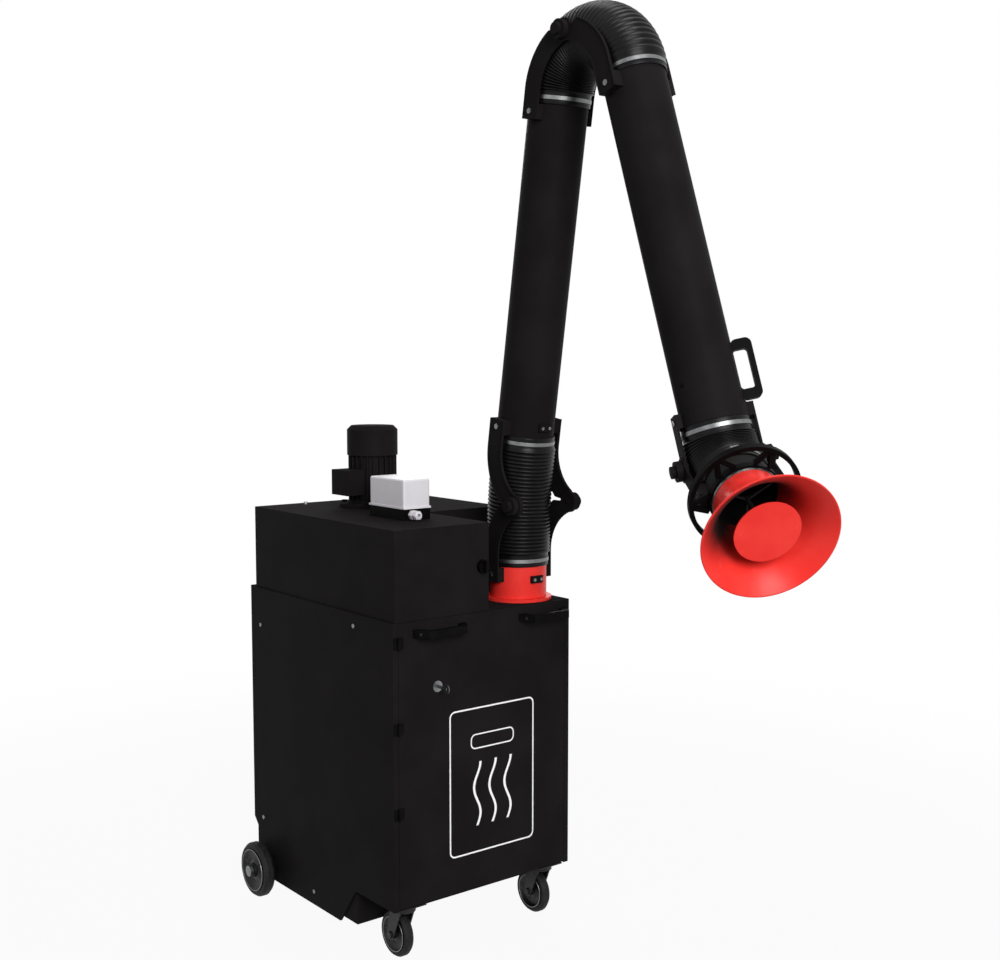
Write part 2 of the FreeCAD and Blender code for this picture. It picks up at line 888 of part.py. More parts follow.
def motor_cowl():
    """Fan cowl with a chamfered top and radial air slots."""
    chamfer = D.wall * 6
    skin = D.wall
    straight = D.motor_cowl_height - chamfer
    lap = D.wall * 3
    skirt = rod(D.motor_cowl_radius, straight + lap, (fan_x, fan_y, body_high - lap))
    cap = taper(D.motor_cowl_radius, D.motor_cowl_radius - chamfer, chamfer,
                (fan_x, fan_y, body_high + straight))
    bore = D.motor_radius + D.clear_gap
    space = rod(bore, straight - skin + lap, (fan_x, fan_y, body_high - lap))
    roof = taper(bore, bore - chamfer + skin * 2, chamfer - skin * 2,
                 (fan_x, fan_y, body_high + straight - skin))
    centre = Vector(float(fan_x), float(fan_y), 0)
    slots = []
    for i in range(8):
        slot = box(D.motor_cowl_radius * 0.5, D.wall * 2, chamfer,
                   (fan_x + D.motor_cowl_radius * 0.2, fan_y - D.wall, cowl_high - chamfer))
        slots.append(turned(slot, 45 * i, centre))
    return cut(fuse(skirt, cap), fuse(space, roof), *slots)


def cooling_fan():
    """Radial fan on the shaft's upper end."""
    low = body_high + D.wall * 6
    height = D.wall * 12
    hub = rod(D.shaft_radius * 1.7, height, (fan_x, fan_y, low))
    disc = rod(D.motor_radius - D.wall * 3, D.wall, (fan_x, fan_y, low))
    centre = Vector(float(fan_x), float(fan_y), 0)
    span = D.motor_radius - D.wall * 3
    blades = [
        turned(box(span * 2, D.wall, height, (fan_x - span, fan_y - D.wall / 2, low)), 30 * i, centre)
        for i in range(6)
    ]
    return cut(fuse(hub, disc, *blades), rod(D.shaft_radius, height, (fan_x, fan_y, low)))


def terminal_box():
    """Connection box on the motor's side, with its lid and saddle."""
    low = top_high + D.terminal_lift
    start = D.motor_radius * 0.6
    case = box(
        D.motor_radius + D.terminal_reach - start, D.terminal_width, D.terminal_height,
        (fan_x - D.motor_radius - D.terminal_reach, fan_y - D.terminal_width / 2, low),
    )
    return cut(case, rod(D.motor_radius + D.clear_gap, D.terminal_height, (fan_x, fan_y, low)))


def control_box_base():
    return box(D.box_width, D.box_depth, D.box_base_height,
               (left + D.box_left, front + D.box_from_front, top_high))


def control_box_cover():
    base_top = top_high + D.box_base_height
    x = left + D.box_left
    y = front + D.box_from_front
    case = box(D.box_width, D.box_depth, D.box_cover_height, (x, y, base_top))
    rounded = doc.addObject("Part::Fillet", "RoundedCover")
    rounded.Base = case
    doc.recompute()
    edges = [i for i, e in enumerate(case.Shape.Edges, start=1) if e.CenterOfMass.z > float(base_top) + 1]
    size = float(D.wall) * 3
    rounded.Edges = [(i, size, size) for i in edges]
    proud = D.wall
    lip = box(D.box_width + proud * 2, D.box_depth + proud * 2, D.box_lip, (x - proud, y - proud, base_top))
    return fuse(rounded, lip)


def cable_gland():
    """Cable entry of the control box, with a bore for the supply cable."""
    x = left + D.box_left + D.gland_from_left
    y = front + D.box_from_front - D.gland_length
    z = top_high + D.box_base_height / 2
    third = D.gland_length / 3
    body = hexagon_bar(D.gland_radius, third, (x, y + third * 2, z))
    neck = rod(D.gland_radius * 0.8, D.gland_length - D.wall, (x, y + D.wall, z), "Y")
    cap = hexagon_bar(D.gland_radius * 0.96, third, (x, y + D.wall * 2, z))
    dome = taper(D.gland_radius * 0.6, D.gland_radius * 0.85, D.wall * 2, (x, y, z), "Y")
    return cut(fuse(body, neck, cap, dome), rod(D.gland_bore, D.gland_length, (x, y, z), "Y"))


# Filter and dust bin
filter_top = shell_top - D.filter_cap
filter_low = filter_top - D.filter_height


def filter_media():
    """Pleated cartridge: the pleats zigzag between two circles round an open core."""
    count = int(float(D.filter_pleats))
    outer = float(filter_radius) - float(D.wall)
    inner = outer - float(D.filter_pleat)
    points = []
    for i in range(count * 2):
        angle = math.pi * i / count
        radius = outer if i % 2 == 0 else inner
        points.append(Vector(radius * math.cos(angle), radius * math.sin(angle), 0))
    star = Part.Face(Part.makePolygon(points + points[:1]))
    core = Part.makeCylinder(inner - float(D.wall) * 2, float(D.filter_height))
    item = doc.addObject("Part::Feature", "Media")
    item.Shape = star.extrude(Vector(0, 0, float(D.filter_height))).cut(core)
    item.Placement = FreeCAD.Placement(Vector(float(fan_x), float(fan_y), float(filter_low)),
                                       FreeCAD.Rotation())
    return item


def filter_caps():
    """Open upper end ring against the deck, and the lower end disc with the rod's hole."""
    upper = ring(filter_radius, D.inlet_radius, D.filter_cap, (fan_x, fan_y, filter_top))
    lower = ring(filter_radius, D.rod_radius + D.clear_gap, D.filter_cap,
                 (fan_x, fan_y, filter_low - D.filter_cap))
    return upper, lower


def filter_rod():
    """Tie rod through the cartridge with a wing nut below and a cross bar above the deck hole."""
    low = filter_low - D.filter_cap
    stem = rod(D.rod_radius, D.deck_height - low + D.wall * 10, (fan_x, fan_y, low - D.wall * 10))
    nut = rod(D.rod_radius * 2.2, D.wall * 5, (fan_x, fan_y, low - D.wall * 5))
    wing = box(D.rod_radius * 9, D.wall * 2, D.wall * 6,
               (fan_x - D.rod_radius * 4.5, fan_y - D.wall, low - D.wall * 8))
    bar = box(D.inlet_radius * 2, D.rod_radius * 3, D.floor_plate,
              (fan_x - D.inlet_radius, fan_y - D.rod_radius * 1.5, shell_top - D.floor_plate))
    inside = rod(D.inlet_radius - D.clear_gap, D.floor_plate * 2, (fan_x, fan_y, shell_top - D.floor_plate))
    trimmed = doc.addObject("Part::MultiCommon", "TrimmedBar")
    trimmed.Shapes = [bar, inside]
    return fuse(stem, nut, wing, trimmed)


def dust_bin():
    """Open sheet bin under the cartridge, welded from a floor and four walls, with a pull strap."""
    low = D.tray_height + D.floor_plate
    wall = D.wall
    wide = D.bin_width
    deep = D.body_depth * D.bin_share
    x = fan_x - wide / 2
    y = back - wall - D.front_flange - deep
    rise = D.bin_height - wall
    strap_x = fan_x - D.handle_length / 2
    return group(
        box(wide, deep, wall, (x, y, low)),
        box(wide, wall, rise, (x, y, low + wall)),
        box(wide, wall, rise, (x, y + deep - wall, low + wall)),
        box(wall, deep - wall * 2, rise, (x, y + wall, low + wall)),
        box(wall, deep - wall * 2, rise, (x + wide - wall, y + wall, low + wall)),
        box(D.handle_length, D.handle_bar, wall * 3, (strap_x, y - D.handle_bar, low + D.bin_height * 0.7)),
    )


def inlet_baffle():
    """Bent spark plate hung under the arm's inlet."""
    reach = D.collar_radius * 2
    drop = D.collar_radius
    low = shell_top - drop
    y = seal_back + D.wall
    plate = box(reach, reach, D.wall, (arm_x - D.collar_radius, y, low))
    hanger = box(reach, D.wall, drop, (arm_x - D.collar_radius, y, low))
    return fuse(plate, hanger)


# Arm frames
swing = float(D.lower_lean_angle)
droop = float(D.outer_lean_angle)
offset = float(D.hinge_offset)
half = float(D.hinge_half)
UP = Vector(0, 0, 1)
ACROSS = Vector(1, 0, 0)
collar_top = Vector(float(arm_x), float(arm_y), float(D.deck_height + D.collar_height))
shoulder_pivot = collar_top + Vector(0, -offset, half)
lower_turn = FreeCAD.Rotation(ACROSS, swing)
lower_start = shoulder_pivot - lower_turn.multVec(Vector(0, -offset, -half))
lower_frame = FreeCAD.Placement(lower_start, lower_turn)
elbow_pivot = lower_frame.multVec(Vector(0, -offset, float(D.lower_length) + half))
outer_turn = FreeCAD.Rotation(ACROSS, -droop)
outer_start = elbow_pivot - outer_turn.multVec(Vector(0, offset, half))
outer_frame = FreeCAD.Placement(outer_start, outer_turn)
wrist_point = outer_frame.multVec(Vector(0, 0, -float(D.outer_length) - float(D.wrist_half)))
wrist_turn = outer_turn.multiply(FreeCAD.Rotation(UP, -float(D.wrist_swivel_angle)))
wrist_frame = FreeCAD.Placement(wrist_point, wrist_turn)
hood_turn = wrist_turn.multiply(FreeCAD.Rotation(ACROSS, 180 - float(D.wrist_tilt_angle)))
hood_frame = FreeCAD.Placement(wrist_point, hood_turn)
collar_frame = FreeCAD.Placement(collar_top, FreeCAD.Rotation())


# Arm
def swivel_base():
    """Flanged spigot on the deck that the arm's collar turns on."""
    spigot = D.collar_radius - D.tube_wall * 2
    flange = ring(D.collar_flange_radius, spigot - D.tube_wall * 2, D.collar_flange_thickness,
                  (arm_x, arm_y, D.deck_height))
    rise = D.collar_height - D.hose_cuff - D.wall * 2
    pipe = ring(spigot, spigot - D.tube_wall * 2, rise, (arm_x, arm_y, D.deck_height))
    return fuse(flange, pipe)


def swivel_collar():
    """Red turning collar with a clamp boss on its front."""
    low = D.deck_height + D.collar_flange_thickness + D.clear_gap
    spigot = D.collar_radius - D.tube_wall * 2
    pipe = ring(D.collar_radius, spigot + D.running_gap, D.deck_height + D.collar_height - low,
                (arm_x, arm_y, low))
    return pipe


def tube_clip(radius, low):
    """Clip block on the front of a duct, for the two bolts that pinch it."""
    plate = box(D.arm_foot, D.wall * 4, D.clip_height, (-D.arm_foot / 2, -radius - D.wall * 3, low))
    return cut(plate, rod(radius, D.clip_height, (0, 0, low)))


def clip_bolts(radius, low):
    """Two hexagon bolt heads on the front of a clip block."""
    length = D.wall * 2
    y = -radius - D.wall * 3 - length
    z = low + D.clip_height / 2
    return [hexagon_bar(D.clip_bolt_radius, length, (D.arm_foot * share, y, z)) for share in (-0.3, 0.3)]


def arm_tube(length, start):
    """Straight duct of the arm, about its own Z axis."""
    return ring(D.tube_radius, D.tube_radius - D.tube_wall, length, (0, 0, start))


def pivot_plates(inner, toward, along, ribbed=False):
    """Pair of curved hinge plates; toward is the pivot's side in Y, along the way out of the tube in Z."""
    thick = D.arm_plate
    leg = D.arm_plate_width
    rise = D.hinge_half
    reach = D.hinge_offset
    bend = (reach * reach + rise * rise) / (reach * 2)
    centre_y = bend * toward
    start = D.hose_cuff + D.wall
    foot_end = start + D.arm_foot

    def arc_strip(low_edge, high_edge, x, depth):
        """Part of the curved leg between two distances from its middle line."""
        disc = rod(bend + high_edge, depth, (x, centre_y, 0), "X")
        core = rod(bend + low_edge, depth, (x, centre_y, 0), "X")
        side_y = centre_y - (bend + leg) if toward > 0 else centre_y
        sector = box(depth, bend + leg, rise, (x, side_y, 0 if along > 0 else -rise))
        strip = doc.addObject("Part::MultiCommon", "CurvedLeg")
        strip.Shapes = [cut(disc, core), sector]
        past_y = reach * toward if toward > 0 else reach * toward - reach * 3
        return cut(strip, box(depth, reach * 3, rise * 2, (x, past_y, -rise)))

    plates = []
    for side in (-1, 1):
        x = inner if side > 0 else -(inner + thick)
        curve = arc_strip(-leg / 2, leg / 2, x, thick)
        eye = rod(D.pivot_boss_radius, thick, (x, reach * toward, rise * along), "X")
        shank = box(thick, leg, foot_end, (x, -leg / 2, -foot_end if along > 0 else 0))
        foot_low = -foot_end if along > 0 else start
        foot_x = D.tube_radius * 0.9 if side > 0 else -inner
        foot = box(inner - D.tube_radius * 0.9, leg, D.arm_foot, (foot_x, -leg / 2, foot_low))
        saddle = cut(foot, rod(D.tube_radius, D.arm_foot, (0, 0, foot_low)))
        pieces = [curve, eye, shank, saddle]
        if ribbed:
            rib = D.arm_plate_rib
            rib_x = inner + thick if side > 0 else -(inner + thick + rib)
            for edge in (-leg / 2, leg / 2 - rib):
                pieces.append(arc_strip(edge, edge + rib, rib_x, rib))
                pieces.append(box(rib, rib, foot_end, (rib_x, edge, -foot_end if along > 0 else 0)))
        hole = rod(D.pivot_bolt_radius + D.running_gap, thick, (x, reach * toward, rise * along), "X")
        plates.append(cut(fuse(*pieces), hole))
    return plates


outer_layer = D.arm_plate_inside + D.arm_plate + D.clear_gap


def pivot_bolts(y, rise):
    """Pair of pivot bolts with round clamping knobs outside the plates."""
    bolts = []
    outside = outer_layer + D.arm_plate + D.clear_gap
    inside = D.arm_plate_inside - D.clear_gap
    head = D.wall
    for side in (-1, 1):
        stem_x = inside - head if side > 0 else -outside
        stem = rod(D.pivot_bolt_radius, outside - inside + head, (stem_x, y, rise), "X")
        knob_x = outside if side > 0 else -(outside + D.pivot_knob_length)
        knob = rod(D.pivot_knob_radius, D.pivot_knob_length * 0.6,
                   (outside if side > 0 else -(outside + D.pivot_knob_length * 0.6), y, rise), "X")
        cap = rod(D.pivot_knob_radius * 0.6, D.pivot_knob_length, (knob_x, y, rise), "X")
        bolts.append(fuse(stem, knob, cap))
    return bolts


def foot_bolts(inner, along):
    """A hexagon bolt head on each plate foot."""
    heads = []
    length = D.wall * 2
    level = (D.hose_cuff + D.wall + D.arm_foot / 2) * -along
    for side in (-1, 1):
        x = inner + D.arm_plate if side > 0 else -(inner + D.arm_plate + length)
        heads.append(hexagon_bar(D.wall * 4, length, (x, 0, level), "X"))
    return heads


def clamp_band(level):
    """Stainless worm-drive clamp with its screw housing at the back."""
    inner = D.tube_radius + D.clear_gap + D.hose_wall + D.clear_gap
    band = ring(inner + D.clamp_thickness, inner, D.clamp_width, (0, 0, level - D.clamp_width / 2))
    screw = box(D.clamp_width * 2, D.clamp_width * 0.8, D.clamp_width,
                (-D.clamp_width, inner + D.clamp_thickness / 2, level - D.clamp_width / 2))
    return fuse(band, screw)


def ribbed_hose(reach, rise, bend_angle, ribs, name):
    """Ribbed hose from a start along +Z that bends towards -Y, with plain cuffs over both tubes."""
    bore = float(D.tube_radius + D.clear_gap)
    skin = bore + float(D.hose_wall)
    crest = skin + float(D.hose_rib)
    cuff = float(D.hose_cuff)
    angle = math.radians(bend_angle)
    radius = reach + rise / math.tan(angle / 2)
    length = radius * angle

    def frame_at(s):
        turn = min(max(s / radius, 0), angle)
        past = s - turn * radius
        y = -radius + radius * math.cos(turn) - past * math.sin(turn)
        z = radius * math.sin(turn) + past * math.cos(turn)
        return FreeCAD.Placement(Vector(0, y, z), FreeCAD.Rotation(ACROSS, math.degrees(turn)))

    def circle_at(s, size):
        wire = Part.Wire(Part.makeCircle(size))
        wire.Placement = frame_at(s)
        return wire

    pitch = length / ribs
    stations = [(-cuff, skin)]
    for i in range(ribs):
        for share, size in ((0.1, skin), (0.3, crest), (0.7, crest), (0.9, skin)):
            stations.append(((i + share) * pitch, size))
    stations.append((length + cuff, skin))
    outer = Part.makeLoft([circle_at(s, size) for s, size in stations], True, True)
    bores = [-cuff] + [i * length / ribs for i in range(ribs + 1)] + [length + cuff]
    inner = Part.makeLoft([circle_at(s, bore) for s in bores], True, True)
    item = doc.addObject("Part::Feature", name)
    item.Shape = outer.cut(inner)
    return item


def rounded_loop(low, high, corner):
    """Outline points of a rectangle between two corners, with rounded corners."""
    (y1, z1), (y2, z2) = low, high
    return [
        (y1 + corner, z1),
        (y2 - corner, z1, corner),
        (y2, z1 + corner),
        (y2, z2 - corner, corner),
        (y2 - corner, z2),
        (y1 + corner, z2, corner),
        (y1, z2 - corner),
        (y1, z1 + corner, corner),
    ]


def arm_handle():
    """Rounded loop grip on the outer tube, turned towards the side."""
    low = -D.outer_length - D.wrist_half + D.arm_handle_from_pivot - D.arm_handle_length / 2
    high = low + D.arm_handle_length
    tip = -D.tube_radius - D.arm_handle_reach
    root = -D.tube_radius + D.wall * 2
    loop = rounded_loop((tip, low), (root, high), D.arm_handle_corner)
    window = rounded_loop(
        (tip + D.arm_handle_bar, low + D.arm_handle_end), (-D.tube_radius, high - D.arm_handle_end),
        D.arm_handle_corner / 2,
    )
    side = -D.arm_handle_thickness / 2
    grip = padded("YZ_Plane", loop, D.arm_handle_thickness, side, window, D.arm_handle_thickness, side)
    seated = cut(grip, rod(D.tube_radius, D.arm_handle_length, (0, 0, low)))
    return turned(seated, float(D.arm_handle_turn_angle), Vector())


# Wrist and hood
def wrist_sleeve():
    """Turning sleeve on the outer tube's end, with the spigot for the wrist hose."""
    low = D.wrist_half
    spigot_top = low + D.hose_cuff + D.wall
    socket = ring(D.sleeve_radius, D.tube_radius + D.running_gap, D.sleeve_length, (0, 0, spigot_top))
    spigot = ring(D.tube_radius, D.tube_radius - D.tube_wall * 2, spigot_top - low, (0, 0, low))
    lip = ring(D.sleeve_radius, D.tube_radius - D.tube_wall * 2, D.wall, (0, 0, spigot_top - D.wall))
    return fuse(socket, spigot, lip)


def fork_plates(inner, start, length, saddle_radius):
    """Pair of straight fork plates from the pivot along +Z, with saddles on a round neck."""
    thick = D.arm_plate
    leg = D.fork_width
    plates = []
    for side in (-1, 1):
        x = inner if side > 0 else -(inner + thick)
        eye = rod(D.pivot_boss_radius, thick, (x, 0, 0), "X")
        shank = box(thick, leg, start + length, (x, -leg / 2, 0))
        foot_x = saddle_radius * 0.9 if side > 0 else -inner
        foot = box(inner - saddle_radius * 0.9, leg, length, (foot_x, -leg / 2, start))
        saddle = cut(foot, rod(saddle_radius, length, (0, 0, start)))
        hole = rod(D.pivot_bolt_radius + D.running_gap, thick, (x, 0, 0), "X")
        plates.append(cut(fuse(eye, shank, saddle), hole))
    return plates


def hood_flare():
    """Trumpet hood: a straight neck that curves out to the wide mouth."""
    neck = D.wrist_half
    throat = D.neck_end
    mouth = D.neck_end + D.hood_length
    radius = D.tube_radius
    flare = D.hood_radius - D.tube_radius
    bend = (flare * flare + D.hood_length * D.hood_length) / (flare * 2)
    wall = D.hood_wall
    return revolved([
        (radius, neck),
        (radius, throat, -bend),
        (D.hood_radius, mouth),
        (D.hood_radius - wall, mouth, bend),
        (radius - wall, throat),
        (radius - wall, neck),
    ])


def grip_ring():
    """Hand ring round the neck: rim, hub band and slanted spokes."""
    low = D.neck_end - D.grip_ring_thickness
    thick = D.grip_ring_thickness
    rim = ring(D.grip_ring_radius, D.grip_ring_radius - D.grip_ring_bar, thick, (0, 0, low))
    hub = ring(D.tube_radius + D.clear_gap + D.grip_ring_bar / 2, D.tube_radius + D.clear_gap, thick,
               (0, 0, low))
    count = int(float(D.grip_spokes))
    span = D.grip_ring_radius - D.tube_radius - D.grip_ring_bar / 2
    spokes = []
    for i in range(count):
        for lean in (-24, 24):
            bar = box(span, D.grip_spoke, thick / 2,
                      (D.tube_radius + D.clear_gap, -D.grip_spoke / 2, low + thick / 4))
            leaned = turned(bar, lean, Vector(float(D.grip_ring_radius), 0, 0))
            spokes.append(turned(leaned, 360 * i / count, Vector()))
    return cut(fuse(rim, hub, *spokes), rod(D.tube_radius + D.clear_gap, thick, (0, 0, low)))


def hood_disc():
    """Flat disc that spreads the inflow, with a rounded rim."""
    level = D.neck_end + D.hood_length - D.disc_inset
    return rod(D.disc_radius, D.hood_wall, (0, 0, level - D.hood_wall))


def disc_spider():
    """Three-armed carrier of the disc in the hood's throat."""
    level = D.neck_end
    disc_low = D.neck_end + D.hood_length - D.disc_inset - D.hood_wall
    stem = rod(D.rod_radius, disc_low - level, (0, 0, level))
    reach = D.tube_radius - D.hood_wall
    arms = [
        turned(box(reach, D.wall * 2, D.wall * 5, (0, -D.wall, level)), 120 * i + 30, Vector())
        for i in range(3)
    ]
    bore = rod(reach, D.wall * 6, (0, 0, level))
    trimmed = doc.addObject("Part::MultiCommon", "TrimmedArms")
    trimmed.Shapes = [fuse(*arms), bore]
    return fuse(stem, trimmed)


# Wheels
def wheel(radius, width, bore, tread):
    """Rubber-tyred wheel about its own Z axis, centred on its mid plane."""
    half_wide = width / 2
    hub = bore * 2
    web = width / 6
    rim = radius - tread
    return revolved([
        (bore, -half_wide),
        (hub, -half_wide),
        (hub, -web),
        (rim, -web),
        (rim, -half_wide * 0.8),
        (radius - tread / 3, -half_wide * 0.8),
        (radius, -half_wide * 0.4),
        (radius, half_wide * 0.4),
        (radius - tread / 3, half_wide * 0.8),
        (rim, half_wide * 0.8),
        (rim, web),
        (hub, web),
        (hub, half_wide),
        (bore, half_wide),
    ])


SIDEWAYS = FreeCAD.Rotation(Vector(0, 1, 0), 90)
rear_y = front + D.rear_wheel_from_front


def rear_stubs():
    """Stub axles bolted to the side covers, with end caps outside the wheels."""
    stubs = []
    length = D.rear_wheel_out + D.rear_wheel_width / 2 + D.wall
    for side in (-1, 1):
        flange_x = half_width if side > 0 else -half_width - D.cover_thickness
        flange = rod(D.rear_stub_radius * 3, D.cover_thickness, (flange_x, rear_y, D.rear_wheel_radius),
                     "X")
        stem_x = half_width if side > 0 else -half_width - length
        stem = rod(D.rear_stub_radius, length, (stem_x, rear_y, D.rear_wheel_radius), "X")
        cap_x = half_width + length if side > 0 else -half_width - length - D.wall * 5
        cap = rod(D.rear_stub_radius * 1.6, D.wall * 5, (cap_x, rear_y, D.rear_wheel_radius), "X")
        stubs.append(fuse(flange, stem, cap))
    return group(*stubs)


caster_y = front + D.caster_from_front
crown_high = D.front_base_height - D.caster_plate - D.wall * 6


def caster_mount(x):
    """Caster top plate with the race housing and the king pin that holds the fork."""
    size = D.caster_from_front * 2 - D.wall * 4
    plate = box(size, size, D.caster_plate,
                (x - size / 2, caster_y - size / 2, D.front_base_height - D.caster_plate))
    race = rod(D.caster_wheel_radius / 2, D.wall * 6 - D.clear_gap, (x, caster_y, crown_high + D.clear_gap))
    head_low = crown_high - D.caster_plate - D.clear_gap - D.wall * 2
    pin = rod(D.caster_pin_radius, crown_high + D.clear_gap - head_low, (x, caster_y, head_low))
    head = rod(D.caster_pin_radius * 1.7, D.wall * 2, (x, caster_y, head_low))
    return fuse(plate, race, pin, head)


def caster_fork(x):
    """Pressed fork that trails behind its swivel axis, with the wheel's axle bolt."""
    inside = D.caster_wheel_width / 2 + D.wall * 2
    outer = inside + D.caster_plate
    axle_y = caster_y + D.caster_trail
    crown = rod(D.caster_wheel_radius / 2, D.caster_plate, (x, caster_y, crown_high - D.caster_plate))
    bridge = box(outer * 2, D.caster_trail + D.caster_pin_radius * 3, D.caster_plate,
                 (x - outer, caster_y - D.caster_pin_radius * 3, crown_high - D.caster_plate))
    legs = []
    for side in (-1, 1):
        leg_x = x + inside if side > 0 else x - outer
        profile = [
            (caster_y - D.caster_pin_radius * 3, crown_high),
            (axle_y - D.caster_pin_radius * 2, D.caster_wheel_radius - D.caster_pin_radius * 2),
            (axle_y + D.caster_pin_radius * 2, D.caster_wheel_radius - D.caster_pin_radius * 2),
            (axle_y + D.caster_pin_radius * 2, D.caster_wheel_radius + D.caster_pin_radius * 2),
            (axle_y, crown_high),
        ]
        legs.append(padded("YZ_Plane", profile, D.caster_plate, leg_x))
    axle = rod(D.caster_pin_radius, outer * 2 + D.wall * 4,
               (x - outer - D.wall * 2, axle_y, D.caster_wheel_radius), "X")
    heads = [
        rod(D.caster_pin_radius * 1.6, D.wall * 2, (at, axle_y, D.caster_wheel_radius), "X")
        for at in (x - outer - D.wall * 2, x + outer)
    ]
    hole = rod(D.caster_pin_radius + D.running_gap, D.caster_plate * 2,
               (x, caster_y, crown_high - D.caster_plate * 1.5))
    return cut(fuse(crown, bridge, *legs, axle, *heads), hole)


def place_at(at, turn):
    return FreeCAD.Placement(Vector(*[float(v) for v in at]), turn)


def build_cabinet():
    node("base_frame", base_frame())
    node("cabinet_shell", cabinet_shell())
    node("side_covers", group(side_cover(-1), side_cover(1)))
    node("rear_cover", rear_cover())
    node("cover_screws", cover_screws())
    node("deck_plate", group(deck_plate(), inlet_baffle()))
    node("upper_housing", upper_housing())
    node("exhaust_grille", exhaust_grille())
    node("filter_media", filter_media())
    node("filter_caps", group(*filter_caps(), filter_rod()))
    node("dust_bin", dust_bin())


def build_door():
    node("door", door())
    node("door_seal", door_seal())
    node("hinge_posts", group(*[hinge_leaf(level, -1) for level in hinge_levels], *hinge_pins()))
    node("hinge_door_leaves", group(*[hinge_leaf(level, 1) for level in hinge_levels]))
    node("door_handles",
         group(bow_handle(left + D.left_handle_place), bow_handle(left + D.right_handle_place)))
    node("lock_body", lock_body())
    node("key", key())
    node("lock_cam", group(lock_plug(), lock_cam()))
    node("front_knob", front_knob())


def build_fan():
    node("inlet_ring", inlet_ring())
    node("impeller", impeller())
    node("motor_shaft", motor_shaft())
    node("motor_body", group(motor_flange(), motor_body(), *motor_bearings()))
    node("motor_cowl", motor_cowl())
    node("cooling_fan", cooling_fan())
    node("terminal_box", terminal_box())
    node("control_box_base", control_box_base())
    node("control_box_cover", control_box_cover())
    node("cable_gland", cable_gland())


def build_arm():
    inner = D.arm_plate_inside
    cuff_middle = D.hose_cuff / 2
    pivot = (-D.hinge_offset, D.hinge_half)
    clip_low = -D.collar_height * D.clip_drop_share
    node("swivel_base", swivel_base())
    node("swivel_collar", swivel_collar())
    plates = [*pivot_plates(inner, -1, 1), *pivot_bolts(*pivot), tube_clip(D.collar_radius, clip_low)]
    node("collar_plates", group(*plates), collar_frame)
    fasteners = [*foot_bolts(inner, 1), *clip_bolts(D.collar_radius, clip_low), clamp_band(-cuff_middle)]
    node("shoulder_fasteners", group(*fasteners), collar_frame)
    shoulder = ribbed_hose(offset, half, swing, int(float(D.shoulder_ribs)), "ShoulderHose")
    node("shoulder_hose", shoulder, collar_frame)

    node("lower_tube", arm_tube(D.lower_length, 0), lower_frame)
    plates = [shifted(item, D.lower_length) for item in (*pivot_plates(inner, -1, 1), *pivot_bolts(*pivot))]
    plates += [*pivot_plates(outer_layer, -1, -1, True), tube_clip(D.tube_radius, D.tube_clip_rise)]
    node("lower_tube_plates", group(*plates), lower_frame)
    fasteners = [shifted(item, D.lower_length) for item in (*foot_bolts(inner, 1),
                                                            clamp_band(-cuff_middle))]
    fasteners += [*foot_bolts(outer_layer, -1), *clip_bolts(D.tube_radius, D.tube_clip_rise)]
    fasteners.append(clamp_band(cuff_middle))
    node("elbow_fasteners", group(*fasteners), lower_frame)
    top = FreeCAD.Placement(Vector(0, 0, float(D.lower_length)), FreeCAD.Rotation())
    fold = 180 - swing - droop
    elbow = ribbed_hose(offset, half, fold, int(float(D.elbow_ribs)), "ElbowHose")
    node("elbow_hose", elbow, lower_frame.multiply(top))

    length = D.outer_length - D.hose_cuff - D.wall - D.clear_gap
    node("outer_tube", arm_tube(length, -length), outer_frame)
    node("outer_tube_plates", group(*pivot_plates(outer_layer, 1, 1, True)), outer_frame)
    fasteners = [*foot_bolts(outer_layer, 1), clamp_band(-cuff_middle)]
    node("outer_tube_fasteners", group(*fasteners), outer_frame)
    node("arm_handle", arm_handle(), outer_frame)


def build_hood():
    inner = D.arm_plate_inside
    neck_low = D.wrist_half + D.hose_cuff + D.wall
    clamp_level = D.wrist_half + D.hose_cuff / 2
    node("wrist_sleeve", wrist_sleeve(), wrist_frame)
    fork = fork_plates(inner, neck_low, D.sleeve_length, D.sleeve_radius)
    node("wrist_fork", group(*fork, *pivot_bolts(0, 0)), wrist_frame)
    node("wrist_fasteners", clamp_band(clamp_level), wrist_frame)
    wrist_start = wrist_frame.multiply(
        FreeCAD.Placement(Vector(0, 0, float(D.wrist_half)), FreeCAD.Rotation(ACROSS, 180))
    )
    hose = ribbed_hose(0, float(D.wrist_half), float(D.wrist_tilt_angle), int(float(D.wrist_ribs)),
                       "WristHose")
    node("wrist_hose", hose, wrist_start.multiply(FreeCAD.Placement(Vector(), FreeCAD.Rotation(UP, 180))))
    node("hood_flare", hood_flare(), hood_frame)
    foot = D.neck_end - D.grip_ring_thickness - neck_low
    node("hood_fork", group(*fork_plates(outer_layer, neck_low, foot, D.tube_radius)), hood_frame)
    node("hood_clamp", group(clamp_band(clamp_level), disc_spider()), hood_frame)
    node("grip_ring", grip_ring(), hood_frame)
    node("hood_disc", hood_disc(), hood_frame)


